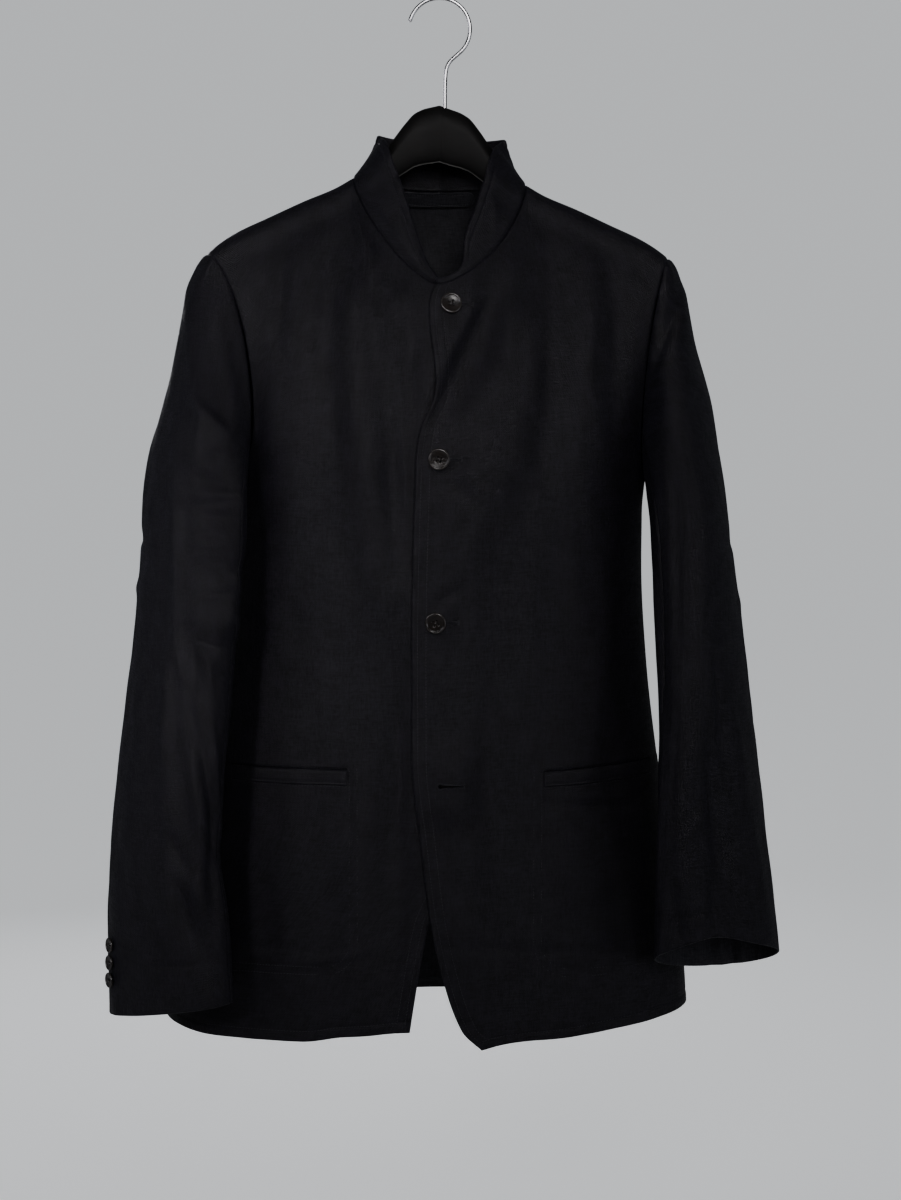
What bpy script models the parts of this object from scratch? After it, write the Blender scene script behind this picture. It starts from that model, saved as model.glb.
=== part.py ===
"""Stand-collar jacket of dark linen, buttoned and hanging empty on a broad black hanger.

Frame: metres, +Z up. The front faces -Y and the wearer's left is +X.
The origin is the inside top of the hanger's hook, where a rail carries it.
Each piece of cloth is a grid worked out from the named sizes and tables below and is
given two walls. The tables and sizes are in millimetres and degrees.
"""

import math

import bmesh
import bpy
import numpy as np
from mathutils import Matrix, Vector

MM = 0.001

# ---------------------------------------------------------------- driving sizes
CLOTH = 1.5  # body and sleeve cloth, with its turnings
BAND = 2.2  # collar band: two layers and its stiffening
WELT = 1.2  # pocket welt, a folded strip
BAG = 1.0  # pocket bag, one layer
SEAM_GAP = 0.6  # between two pieces at a seam
ARMHOLE_GAP = 1.0  # the same at the armhole, where the cloth turns most
UNDERARM_GAP = 2.5  # added to it where sleeve and body hang side by side
LAYER_GAP = 0.4  # between a piece and the panel it lies on
NECK_HALF = 79.0  # from the centre to the side of the neck, along the shoulder
NECK_DROP = {"front": 96.0, "back": 6.0}
NECK_POWER = {"front": {-1: 1.35, 1: 1.54}, "back": {-1: 2.0, 1: 2.0}}
SHOULDER_LEAN = 4.0  # the hanger sits a little lower on the wearer's left
SHOULDER_ROLL = 20.0  # how far below the shoulder line the cloth has turned down
BODY_POWER = 2.4  # roundness of the body in plan, 2 being an ellipse
UNDERARM = -430.0
ARMHOLE_TOP = {-1: 214.0, 1: 210.0}
ARMHOLE_BOW = {("front", -1): 31.0, ("front", 1): 13.0, ("back", -1): 13.0, ("back", 1): 13.0}
ARMHOLE_STEP = 15.0  # degrees round the armhole between two points
NECK_STEPS = 7  # from the centre of the neck to its side
SHOULDER_STEPS = 7
SLEEVE_ROWS = 19
SLEEVE_TWIST = 28.0  # the under side of the sleeve turns forwards, clear of the body
UNDERARM_CLEAR = 6.5  # how far the sleeve is held off the body just under the arm
OVERLAP_LIFT = 3.4  # the left front rides over the right front
OVERLAP_WIDE = 24.0  # how far past the centre the two fronts lie over each other
RIGHT_UNDERLAP = (14.0, 6.0)  # the right front's columns beneath the left front, at the neck
RIGHT_TOP_EDGE = -262.0
BUTTON_LIFT = 4.6  # extra room over the covered button


class Table:
    """Rows of numbers under named columns, read smoothly along the first column."""

    def __init__(self, columns, *rows):
        data = np.array(sorted(rows), float)
        self.at = data[:, 0]
        self.columns = {name: data[:, k] for k, name in enumerate(columns)}

    def read(self, column, at):
        """A cubic through the rows that never overshoots them."""
        known = self.columns[column]
        width = np.diff(self.at)
        rise = np.diff(known) / width
        same = rise[1:] * rise[:-1] > 0
        safe = np.where(same, rise[1:] + rise[:-1], 1.0)
        inner = np.where(same, 2 * rise[1:] * rise[:-1] / safe, 0.0)
        slope = np.concatenate([rise[:1], inner, rise[-1:]])
        at = np.clip(np.asarray(at, float), self.at[0], self.at[-1])
        row = np.clip(np.searchsorted(self.at, at) - 1, 0, len(width) - 1)
        t = (at - self.at[row]) / width[row]
        start = (1 + 2 * t) * known[row] + t * width[row] * slope[row]
        end = (3 - 2 * t) * known[row + 1] - (1 - t) * width[row] * slope[row + 1]
        return start * (1 - t) ** 2 + end * t**2


# The body in plan at each height: each half of it is half of a rounded oval.
BODY = Table(
    ("height", "centre", "half_width", "front", "back"),
    (-240, 0, 240, 100, 70),
    (-300, 0, 220, 102, 72),
    (-360, 0, 203, 102, 74),
    (-430, 0, 189, 100, 76),
    (-465, 0, 186, 99, 76),
    (-520, -2, 188, 97, 76),
    (-600, -4, 195, 95, 77),
    (-700, -8, 211, 96, 81),
    (-800, -10, 226, 98, 87),
    (-880, -12, 240, 100, 92),
    (-945, -12, 244, 101, 95),
)
# The shoulder line, with the half thickness of the hanger's arm that fills it.
SHOULDER = Table(
    ("across", "height", "thick"),
    (0, -131, 14),
    (40, -143, 14),
    (79, -162, 15),
    (95, -171, 17),
    (124, -183, 20),
    (157, -198, 23),
    (185, -211, 25),
    (205, -224, 25),
    (219, -238, 23),
    (260, -290, 23),
)
# How much of the body's full depth is reached at each drop below the shoulder line.
FALL = Table(
    ("drop", "front", "back"),
    (0, 0, 0),
    (20, 0.03, 0.15),
    (50, 0.22, 0.45),
    (90, 0.46, 0.65),
    (140, 0.71, 0.82),
    (200, 0.9, 0.94),
    (270, 1, 1),
)
# The free front edges: the left front laps over, and both are cut away at the hem.
FRONT_EDGE = {
    1: Table(
        ("height", "x"),
        (-258, -1),
        (-267, -6),
        (-280, -8),
        (-300, -7),
        (-343, -2),
        (-356, -3),
        (-385, -16),
        (-416, -20),
        (-590, -24),
        (-674, -24),
        (-764, -15),
        (-815, -9),
        (-881, 5),
        (-924, 21),
        (-941, 38),
    ),
    -1: Table(
        ("height", "x"),
        (-262, 14),
        (-300, 20),
        (-700, 20),
        (-764, 12),
        (-800, 1),
        (-824, -9),
        (-857, -16),
        (-905, -24),
        (-925, -27),
    ),
}
HEM = {
    1: Table(
        ("x", "height"),
        (38, -941),
        (69, -935),
        (115, -932),
        (156, -927),
        (197, -922),
        (232, -918),
    ),
    -1: Table(("x", "height"), (-256, -930), (-210, -935), (-125, -935), (-88, -930), (-27, -925)),
    0: Table(("x", "height"), (-256, -930), (-120, -934), (0, -932), (100, -928), (232, -918)),
}
# Rows of the grids from the hem to the underarm. The first is a height above the hem.
FRONT_ROWS = (18, -898, -872, -822, -762, -702, -690, -682, -640, -590, -540, -490, -455)
BACK_ROWS = (18, -880, -810, -740, -670, -600, -530, -470)
# The collar band round the neck: 0 is the centre front, 90 the shoulder, 180 the centre back.
# Its bend is how far it stands up from the slope of the panel that it is sewn to.
COLLAR = Table(
    ("around", "left", "right", "bend"),
    (0, 3, 4, 0),
    (12, 4, 11, 2),
    (18, 7, 15.5, 3),
    (25, 17, 21, 4),
    (31, 25, 25, 6),
    (40, 31, 31, 8),
    (60, 39, 40, 16),
    (77, 43, 43, 24),
    (90, 44, 44, 28),
    (120, 44, 44, 26),
    (150, 43, 43, 20),
    (180, 43, 43, 18),
)
COLLAR_END = {1: -1.0, -1: -3.8}  # where the band's two ends stop, across the centre front
# Sleeves at each height: the oval's centre, its half length and half breadth, and how far
# its long axis is turned from side-to-side, the outer end of it going backwards.
SLEEVE_COLUMNS = ("height", "out", "y", "length", "breadth", "turn")
SLEEVE = {
    -1: Table(
        SLEEVE_COLUMNS,
        (-229, 183, -4, 60, 38, 75),
        (-252, 190, -5, 62, 39, 75),
        (-274, 192, -7, 64, 40, 75),
        (-315, 199, -12, 66, 40, 73),
        (-364, 208, -30, 68, 38, 66),
        (-410, 216, -47, 69, 37, 60),
        (-450, 219, -60, 69, 35, 54),
        (-500, 221, -68, 70, 34, 52),
        (-560, 227, -75, 70, 33, 53),
        (-630, 233, -83, 69, 33, 51),
        (-700, 240, -90, 68, 31, 48),
        (-764, 245, -93, 67, 30, 43),
        (-820, 243, -95, 67, 28, 34),
        (-920, 241, -95, 66, 27, 29),
    ),
    1: Table(
        SLEEVE_COLUMNS,
        (-236, 180, -4, 60, 38, 75),
        (-256, 184, -5, 62, 38, 75),
        (-285, 190, -7, 64, 38, 75),
        (-315, 197, -10, 67, 37, 75),
        (-364, 210, -26, 70, 36, 76),
        (-410, 218, -42, 72, 34, 78),
        (-450, 223, -55, 73, 34, 80),
        (-520, 230, -66, 73, 34, 76),
        (-590, 236, -74, 72, 34, 70),
        (-650, 240, -80, 70, 34, 62),
        (-730, 243, -86, 69, 33, 50),
        (-790, 246, -90, 67, 32, 40),
        (-890, 251, -93, 66, 33, 28),
    ),
}
CUFF = {
    -1: {"height": -903.0, "rise_outwards": -0.18, "rise_backwards": -0.05, "wave": 0.0},
    1: {"height": -855.8, "rise_outwards": 0.16, "rise_backwards": -0.48, "wave": 7.5},
}
# Where the sleeve's two seams run, in degrees round it, from its head to its cuff.
SLEEVE_SEAM = {
    -1: {"hind": (-75.0, -9.0), "front": (120.0, 130.0)},
    1: {"hind": (-75.0, -68.0), "front": (120.0, 128.0)},
}
# The hanger from its middle to one arm's end: how far its top stands above the shoulder
# line, its height from top to bottom edge, and how much thinner it is than its sleeve of cloth.
HANGER = Table(
    ("across", "above", "tall", "slack"),
    (0, 37, 51, 5),
    (14, 37, 50, 5),
    (24, 35, 48, 4.8),
    (33, 28, 44, 4.6),
    (42, 19, 38, 4.4),
    (52, 9, 32, 4),
    (64, -1, 27, 4.4),
    (79, -4.4, 24, 4.6),
    (95, -2.8, 23, 4.5),
    (124, -2.5, 23, 4.8),
    (185, -3.0, 25, 6.0),
    (198, -3.8, 22, 8.6),
    (206, -9, 12, 13),
)
HANGER_END = 206.0
HANGER_CENTRE = 2.5
HANGER_RING = 18
HANGER_SHARPNESS = 1.3  # 1 would be an oval section
HOOK_WIRE = 1.75
HOOK_RADIUS = 26.0  # to the inside of the wire
HOOK_TIP_ANGLE = 163.0
HOOK_LEAVES = -50.0
HOOK_STEM = ((13.2, -51.2), (8.6, -56.0), (6.2, -62.0), (5.3, -72.0), (5.0, -84.0), (5.0, -112.0))
# The largest folds: a ridge or trough on a curved line from start through middle to end.
# A height is proud of the cloth when positive. A width is half of the fold's.
FRONT_FOLDS = (
    (52, -262, 30, -330, -8, -392, 15, -8),
    (82, -262, 66, -380, 8, -545, 26, 7),
    (128, -220, 132, -330, 122, -460, 24, 5),
    (-58, -235, -72, -330, -42, -560, 20, 7),
    (-36, -300, -34, -400, -30, -500, 20, -5),
    (-120, -225, -128, -340, -124, -520, 24, 4),
    (-42, -560, -46, -760, -44, -925, 16, -5),
    (-64, -640, -68, -800, -66, -935, 18, 5),
    (60, -640, 66, -800, 60, -935, 30, -4),
    (170, -740, 176, -840, 182, -925, 20, 4),
)
BACK_FOLDS = (
    (-60, -230, -74, -420, -70, -640, 34, 6),
    (64, -235, 80, -430, 76, -650, 34, 6),
    (0, -420, 4, -650, 2, -932, 40, -7),
    (-130, -560, -138, -760, -140, -934, 30, 7),
    (132, -560, 140, -760, 142, -926, 30, 7),
    (-160, -330, -146, -400, -120, -470, 18, -5),
    (160, -335, 146, -405, 120, -470, 18, -5),
)
# The sleeves' folds run in degrees round the sleeve and in height.
SLEEVE_FOLDS = {
    -1: (
        (100, -300, 125, -350, 140, -400, 10, 4),
        (60, -320, 72, -390, 80, -450, 12, 3),
        (60, -498, 105, -505, 150, -512, 10, -4),
        (50, -545, 100, -553, 150, -560, 12, 3.5),
        (118, -690, 110, -780, 98, -870, 10, -5),
        (78, -760, 68, -810, 58, -860, 12, 4),
        (215, -540, 255, -530, 300, -520, 14, -4),
    ),
    1: (
        (80, -275, 100, -310, 125, -345, 11, -6),
        (140, -450, 138, -560, 132, -700, 11, 4),
        (85, -420, 88, -530, 88, -640, 14, -4),
        (66, -650, 60, -740, 52, -840, 11, -6),
        (34, -660, 28, -750, 20, -840, 12, 4),
        (95, -690, 90, -770, 84, -840, 12, 4),
        (215, -520, 255, -510, 300, -500, 14, -4),
    ),
}
# Pockets: a welt on the front beneath a level opening, and a bag hung inside.
POCKET = {
    1: {"inner": 94.0, "outer": 192.0},
    -1: {"inner": -82.0, "outer": -187.0},
}
POCKET_COLUMNS = {1: (6, 10), -1: (8, 12)}
WELT_ROWS = (6, 7)
BAG_ROWS = (3, 8)
LOOP = {"left": -34.0, "right": 32.0, "top": -168.4, "bottom": -181.0}
CUFF_SHANK = 0.5  # the sewn stem that holds a button off the cloth
FRONT_BUTTON = {"radius": 9.6, "thick": 3.6}
CUFF_BUTTON = {"radius": 7.0, "thick": 2.8}
# name: place across, height, and the length of its sewn stem
FRONT_BUTTONS = {
    "button_front_1": (10.0, -277.0, 0.4),
    "button_front_2": (0.0, -412.0, 1.2),
    "button_front_3": (-3.0, -556.0, 0.3),
}
COVERED_BUTTON = (2.0, -702.0, 0.5)
CUFF_BUTTON_PITCH = 15.0
SLEEVE_LENGTH = 650.0
CUFF_BUTTON_LOWEST = 30.0  # above the cuff's edge
CUFF_BUTTON_AROUND = 15.0  # degrees forwards of the hind seam

# name: (colour, roughness, metallic)
MATERIALS = {
    "linen": ((0.012, 0.012, 0.018, 1.0), 0.85, 0.0),
    "linen_inside": ((0.014, 0.014, 0.020, 1.0), 0.9, 0.0),
    "horn_button": ((0.020, 0.012, 0.008, 1.0), 0.3, 0.0),
    "hanger_plastic": ((0.010, 0.010, 0.011, 1.0), 0.35, 0.0),
    "hook_chrome": ((0.75, 0.75, 0.76, 1.0), 0.15, 1.0),
}


def smooth(t):
    """From 0 to 1 with no corner at either end."""
    t = np.clip(t, 0, 1)
    return t * t * (3 - 2 * t)


def unit(vectors):
    return vectors / np.maximum(np.linalg.norm(vectors, axis=-1, keepdims=True), 1e-9)


# ---------------------------------------------------------------- the body's form
def shoulder_height(x):
    return SHOULDER.read("height", np.abs(x)) - SHOULDER_LEAN * x / np.hypot(x, 60)


def neckline_height(x, face):
    share = np.clip(np.abs(x) / NECK_HALF, 0, 1)
    side = np.where(x < 0, -NECK_HALF, NECK_HALF)
    middle = SHOULDER.read("height", NECK_HALF)
    level = middle + (shoulder_height(side) - middle) * share**2
    power = np.where(x < 0, NECK_POWER[face][-1], NECK_POWER[face][1])
    return level - NECK_DROP[face] * (1 - share**power) ** (1 / power)


def body_depth(x, z, face):
    """How far the cloth stands off the middle plane of the jacket."""
    share = np.abs(x - BODY.read("centre", z)) / BODY.read("half_width", z)
    oval = np.clip(1 - share**BODY_POWER, 0, 1) ** (1 / BODY_POWER)
    drop = np.clip(shoulder_height(x) - z, 0, 900)
    turned = np.sqrt(1 - (1 - np.clip(drop / SHOULDER_ROLL, 0, 1)) ** 2)
    thick = SHOULDER.read("thick", np.abs(x)) * smooth(oval / 0.4)
    fallen = FALL.read(face, drop)
    return thick * turned * (1 - fallen) + BODY.read(face, z) * oval * fallen


def body_point(x, z, face):
    out = -1 if face == "front" else 1
    return np.stack(np.broadcast_arrays(x, out * body_depth(x, z, face), z), axis=-1)


def body_normal(x, z, face):
    step = 1.0
    inner = x - step * np.sign(x)
    across = (body_depth(x, z, face) - body_depth(inner, z, face)) / (x - inner + 1e-12)
    down = (body_depth(x, z + step, face) - body_depth(x, z - step, face)) / (2 * step)
    out = -1 if face == "front" else 1
    return unit(np.stack(np.broadcast_arrays(-across, out + 0 * x, -down), axis=-1))


def folds(across, height, rows):
    """The sum of the folds at each place, each one softest at its two ends."""
    total = np.zeros(np.broadcast(across, height).shape)
    for x0, z0, x1, z1, x2, z2, wide, tall in rows:
        nearest = np.full(total.shape, 1e9)
        along = np.zeros(total.shape)
        for t in np.linspace(0, 1, 13):
            mid_x = 2 * x1 - (x0 + x2) / 2
            mid_z = 2 * z1 - (z0 + z2) / 2
            here_x = (1 - t) ** 2 * x0 + 2 * t * (1 - t) * mid_x + t * t * x2
            here_z = (1 - t) ** 2 * z0 + 2 * t * (1 - t) * mid_z + t * t * z2
            # Two neighbouring stations are a fold's width apart, so their sum stays level.
            far = np.hypot((across - here_x) / wide, (height - here_z) / (1.4 * wide + 12))
            closer = far < nearest
            along = np.where(closer, t, along)
            nearest = np.where(closer, far, nearest)
        total = total + tall * (0.45 + 0.55 * np.sin(math.pi * along)) * np.exp(-(nearest**2))
    return total


def side_line(x, z):
    """How far inside the side seam and the armhole a place is."""
    low = BODY.read("half_width", z) - np.abs(x - BODY.read("centre", z))
    tip = np.where(x < 0, ARMHOLE_TOP[-1], ARMHOLE_TOP[1])
    return np.where(z > UNDERARM, np.minimum(low, tip - 20 - np.abs(x)), low)


def panel_point(x, z, face, side=0):
    """A place on the outside of a front or of the back, with its folds and its overlap."""
    place = body_point(x, z, face)
    normal = body_normal(x, z, face)
    rows = FRONT_FOLDS if face == "front" else BACK_FOLDS
    top = np.where(np.abs(x) < NECK_HALF, neckline_height(x, face), shoulder_height(x))
    fade = smooth(side_line(x, z) / 26) * smooth((top - z) / 30)
    lift = folds(x, z, rows) * fade
    if side == 1:
        lift = lift + OVERLAP_LIFT * (1 - smooth((x - OVERLAP_WIDE) / 30))
        far = np.hypot(x - COVERED_BUTTON[0], (z - COVERED_BUTTON[1]) * 0.8)
        lift = lift + BUTTON_LIFT * (1 - smooth((far - 10) / 32))
    seam = SEAM_GAP / 2 * (-1 if face == "front" else 1)
    return place + normal * lift[..., None] + np.array([0, seam, 0])


# ---------------------------------------------------------------- the armhole and the sleeve
def armhole(side, around):
    """The seam between body and sleeve. It starts at the shoulder tip and goes down the front."""
    turn = np.radians(around)
    share = (1 - np.cos(turn)) / 2
    top = shoulder_height(side * ARMHOLE_TOP[side])
    z = top + (UNDERARM - top) * share
    low_x = BODY.read("centre", UNDERARM) * side + BODY.read("half_width", UNDERARM)
    straight = ARMHOLE_TOP[side] + (low_x - ARMHOLE_TOP[side]) * share
    front = np.sin(turn) >= 0
    bow = np.where(front, ARMHOLE_BOW["front", side], ARMHOLE_BOW["back", side])
    x = side * (straight - bow * np.abs(np.sin(turn)))
    y = np.where(front, -body_depth(x, z, "front"), body_depth(x, z, "back"))
    return np.stack([x, y, z], axis=-1)


def sleeve_section(side, around, z):
    """The place on the sleeve's oval at this height."""
    table = SLEEVE[side]
    turn = np.radians(-table.read("turn", z))
    angle = np.radians(around + SLEEVE_TWIST * (1 - np.cos(np.radians(around))) / 2) - turn
    far = table.read("length", z) * np.cos(angle)
    near = table.read("breadth", z) * np.sin(angle)
    out = far * np.cos(turn) - near * np.sin(turn)
    forward = far * np.sin(turn) + near * np.cos(turn)
    return table.read("out", z) + out, table.read("y", z) - forward


def sleeve_tube(side, around, down):
    """The sleeve without its folds. Down is 0 at the armhole and 1 at the cuff."""
    seam = armhole(side, around)
    cuff = CUFF[side]
    out, y = sleeve_section(side, around, cuff["height"])
    low = cuff["height"] + cuff["rise_outwards"] * (out - SLEEVE[side].read("out", -880))
    low = low + cuff["rise_backwards"] * (y - SLEEVE[side].read("y", -880))
    low = low + cuff["wave"] * np.exp(-(((np.mod(around + 90, 360) - 160) / 26) ** 2))
    z = seam[..., 2] + down * (low - seam[..., 2])
    out, y = sleeve_section(side, around, z)
    reach = 34 + 58 * np.abs(np.sin(np.radians(around)))
    blend = 1 - (1 - np.clip((seam[..., 2] - z) / reach, 0, 1)) ** 2
    fallen = np.clip((seam[..., 2] - z) / 60, 0, 1)
    inner = np.exp(-(((np.mod(around, 360) - 176) / 26) ** 2))
    out = out + UNDERARM_CLEAR * inner * (1 - fallen) ** 2
    x = seam[..., 0] + blend * (side * out - seam[..., 0])
    y = seam[..., 1] + blend * (y - seam[..., 1])
    return np.stack(np.broadcast_arrays(x, y, z), axis=-1)


def sleeve_normal(side, around, down):
    a = sleeve_tube(side, around + 1, down) - sleeve_tube(side, around - 1, down)
    lower = sleeve_tube(side, around, np.minimum(down + 0.004, 1.0))
    b = lower - sleeve_tube(side, around, np.maximum(down - 0.004, 0.0))
    return unit(np.cross(a, b)) * side


def sleeve_point(side, around, down):
    place = sleeve_tube(side, around, down)
    turned = np.mod(around + 90, 360) - 90
    fade = smooth((armhole(side, around)[..., 2] - place[..., 2]) / 40)
    lift = folds(turned, place[..., 2], SLEEVE_FOLDS[side]) * fade
    return place + sleeve_normal(side, around, down) * lift[..., None]


def ridge_normal(x):
    """Square to the shoulder line, where front and back meet."""
    slope = (shoulder_height(x + 1.0) - shoulder_height(x - 1.0)) / 2.0
    return unit(np.stack([-slope, 0 * slope, 1 + 0 * slope], axis=-1))


def shared_walls(body_out, other_out, other_way):
    """Where a seam turns down, both of its walls slant the same way, so that they stay apart."""
    turns_down = (body_out * other_way).sum(-1, keepdims=True) < 0
    shared = unit(body_out + other_out)
    return np.where(turns_down, shared, body_out), np.where(turns_down, shared, other_out)


def seam_normals(side, around):
    """At the armhole, the way each wall's edge faces and the way the seam's gap opens."""
    seam = armhole(side, around)
    x, z = seam[..., 0], seam[..., 2]
    turn = np.radians(around)
    front = (np.sin(turn) >= 0)[..., None]
    body_out = np.where(front, body_normal(x, z, "front"), body_normal(x, z, "back"))
    on_seam = (np.abs(np.sin(turn)) < 0.05)[..., None]
    tip = (np.cos(turn) > 0)[..., None]
    flat = np.where(tip, ridge_normal(x), side * np.array([1.0, 0.0, 0.0]))
    body_out = np.where(on_seam, flat, body_out)
    along = unit(armhole(side, around + 1.0) - armhole(side, around - 1.0))
    sleeve_way = unit(sleeve_tube(side, around, 0.012 + 0 * around) - seam)
    sleeve_out = unit(np.cross(along, sleeve_way)) * side
    body_wall, sleeve_wall = shared_walls(body_out, sleeve_out, sleeve_way)
    body_way = unit(np.cross(along, body_out)) * side
    apart = (1 + (body_way * sleeve_way).sum(-1, keepdims=True)) / 2
    gap_way = unit((1 - apart) * sleeve_way + apart * body_out)
    gap = gap_way * (ARMHOLE_GAP + UNDERARM_GAP * apart)
    return {"body": body_wall, "sleeve": sleeve_wall, "gap": gap}


# ---------------------------------------------------------------- grids of the panels
def low_shares(side):
    """Where the columns of a front run below the underarm, from its front edge to the side."""
    z = -690.0
    edge = float(FRONT_EDGE[side].read("x", z))
    half = float(BODY.read("half_width", z))
    centre = float(BODY.read("centre", z))
    seam = centre + side * half
    first, last = POCKET_COLUMNS[side]
    a = (POCKET[side]["inner"] - edge) / (seam - edge)
    b = (POCKET[side]["outer"] - edge) / (seam - edge)
    start = math.asin((abs(POCKET[side]["outer"] - centre) / half) ** (BODY_POWER / 2))
    turn = np.linspace(start, math.pi / 2, front_columns(side) - last)
    rest = (centre + side * half * np.sin(turn) ** (2 / BODY_POWER) - edge) / (seam - edge)
    pocket = np.linspace(a, b, last - first + 1)
    return np.concatenate([np.linspace(0, a, first + 1), pocket[1:], rest[1:]])


def front_columns(side):
    return NECK_STEPS + SHOULDER_STEPS + 1 + (len(RIGHT_UNDERLAP) if side < 0 else 0)


def neck_columns():
    return NECK_HALF * np.sin(np.linspace(0, math.pi / 2, NECK_STEPS + 1))


def armhole_shares():
    """How far up from the underarm to the shoulder each row of a panel is."""
    around = np.arange(180, -1, -ARMHOLE_STEP)
    return around, (1 + np.cos(np.radians(around))) / 2


def row_across(side, level, low):
    """The places across of a front's row at these heights, from its edge to the side seam."""
    start = FRONT_EDGE[side].read("x", level[0])
    end = BODY.read("centre", level[-1]) + side * BODY.read("half_width", level[-1])
    return start + low * (end - start)


def front_grid(side):
    """The heights and places across of a front's points, from the hem up."""
    neck = side * neck_columns()
    shoulder = side * np.linspace(NECK_HALF, ARMHOLE_TOP[side], SHOULDER_STEPS + 1)[1:]
    if side > 0:
        neck[0] = FRONT_EDGE[1].read("x", -258)
        top_x = np.concatenate([neck, shoulder])
        top_z = np.concatenate([neckline_height(neck, "front"), shoulder_height(shoulder)])
    else:
        top_x = np.concatenate([RIGHT_UNDERLAP, neck, shoulder])
        under = np.full(len(RIGHT_UNDERLAP), RIGHT_TOP_EDGE)
        top_z = np.concatenate([under, neckline_height(neck, "front"), shoulder_height(shoulder)])
    low = low_shares(side)
    hem_z = np.full(len(low), -900.0)
    for _ in range(4):
        hem_z = HEM[side].read("height", row_across(side, hem_z, low))
    across, height = [], []
    for row in (0,) + FRONT_ROWS:
        level = hem_z + row if row >= 0 else np.full(len(low), float(row))
        across.append(row_across(side, level, low))
        height.append(level)
    around, shares = armhole_shares()
    for angle, share in zip(around, shares):
        edge_z = UNDERARM + share * (top_z[0] - UNDERARM)
        start = FRONT_EDGE[side].read("x", edge_z)
        end = armhole(side, np.array(angle))[0]
        near_end = np.clip((np.abs(top_x) - NECK_HALF) / (np.abs(top_x[-1]) - NECK_HALF), 0, 1)
        near_start = np.clip(1 - np.abs(top_x - top_x[0]) / 50, 0, 1)
        high_row = top_x + near_end * (end - top_x[-1]) + near_start * (start - top_x[0])
        mix = smooth(share)
        across.append((1 - mix) * (start + low * (end - start)) + mix * high_row)
        height.append(UNDERARM + share * (top_z - UNDERARM))
    across[-1] = top_x
    return np.array(across), np.array(height)


def back_grid():
    neck = neck_columns()
    half = neck[1:]
    left = np.linspace(NECK_HALF, ARMHOLE_TOP[1], SHOULDER_STEPS + 1)[1:]
    right = -np.linspace(NECK_HALF, ARMHOLE_TOP[-1], SHOULDER_STEPS + 1)[1:]
    top_x = np.concatenate([right[::-1], -half[::-1], [0.0], half, left])
    on_neck = np.abs(top_x) < NECK_HALF + 0.01
    top_z = np.where(on_neck, neckline_height(top_x, "back"), shoulder_height(top_x))
    turn = np.linspace(-math.pi / 2, math.pi / 2, len(top_x))
    low = np.sign(turn) * np.abs(np.sin(turn)) ** (2 / BODY_POWER)
    across, height = [], []
    hem_z = np.full(len(low), -930.0)
    for _ in range(3):
        hem_x = BODY.read("centre", hem_z) + BODY.read("half_width", hem_z) * low
        hem_z = HEM[0].read("height", hem_x)
    for row in (0,) + BACK_ROWS:
        level = hem_z + row if row >= 0 else np.full(len(low), float(row))
        across.append(BODY.read("centre", level) + BODY.read("half_width", level) * low)
        height.append(level)
    around, shares = armhole_shares()
    for angle, share in zip(around, shares):
        ends = [armhole(side, np.array(360.0 - angle))[0] for side in (-1, 1)]
        mix = smooth(share)
        low_row = (ends[0] + ends[1]) / 2 + (ends[1] - ends[0]) / 2 * low
        near_end = np.clip((np.abs(top_x) - NECK_HALF) / (ARMHOLE_TOP[1] - NECK_HALF), 0, 1)
        move = np.where(top_x < 0, ends[0] - top_x[0], ends[1] - top_x[-1])
        across.append((1 - mix) * low_row + mix * (top_x + near_end * move))
        height.append(UNDERARM + share * (top_z - UNDERARM))
    return np.array(across), np.array(height)


# ---------------------------------------------------------------- meshes
def material(name):
    if name in bpy.data.materials:
        return bpy.data.materials[name]
    colour, roughness, metallic = MATERIALS[name]
    made = bpy.data.materials.new(name)
    made.use_nodes = True
    shader = made.node_tree.nodes["Principled BSDF"]
    shader.inputs["Base Color"].default_value = colour
    shader.inputs["Roughness"].default_value = roughness
    shader.inputs["Metallic"].default_value = metallic
    made.diffuse_color = colour
    return made


def add_mesh(name, points, faces, slot, rounded=True):
    mesh = bpy.data.meshes.new(name)
    mesh.from_pydata((np.asarray(points) * MM).tolist(), [], [tuple(face) for face in faces])
    mesh.update()
    mesh.materials.append(material(slot))
    obj = bpy.data.objects.new(name, mesh)
    home.objects.link(obj)
    if rounded:
        mesh.shade_smooth()
    return obj


def grid_normals(grid):
    """Outward directions when the columns run to the wearer's left and the rows run up."""
    across = np.gradient(grid, axis=1)
    upwards = np.gradient(grid, axis=0)
    return unit(np.cross(across, upwards))


def cloth(name, grid, normals, thick, slot):
    """A sheet with an outer wall on the grid and an inner wall behind it, closed at its edges."""
    rows, columns = grid.shape[:2]
    outer = grid.reshape(-1, 3)
    inner = (grid - normals * thick).reshape(-1, 3)
    count = rows * columns
    faces = []

    def patch(a, b, c, d):
        faces.append((a, b, c))
        faces.append((a, c, d))

    for i in range(rows - 1):
        for j in range(columns - 1):
            a = i * columns + j
            patch(a, a + 1, a + columns + 1, a + columns)
            patch(count + a, count + a + columns, count + a + columns + 1, count + a + 1)
    border = [j for j in range(columns)]
    border += [i * columns + columns - 1 for i in range(1, rows)]
    border += [(rows - 1) * columns + j for j in range(columns - 2, -1, -1)]
    border += [i * columns for i in range(rows - 2, 0, -1)]
    for a, b in zip(border, border[1:] + border[:1]):
        patch(a, count + a, count + b, b)
    # A right-hand grid turned the other way has its faces turned back here.
    a, b, c = (outer[k] for k in (0, 1, columns + 1))
    if np.dot(np.cross(b - a, c - a), normals[0, 0]) < 0:
        faces = [face[::-1] for face in faces]
    obj = add_mesh(name, np.concatenate([outer, inner]), faces, slot, rounded=False)
    return obj


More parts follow.
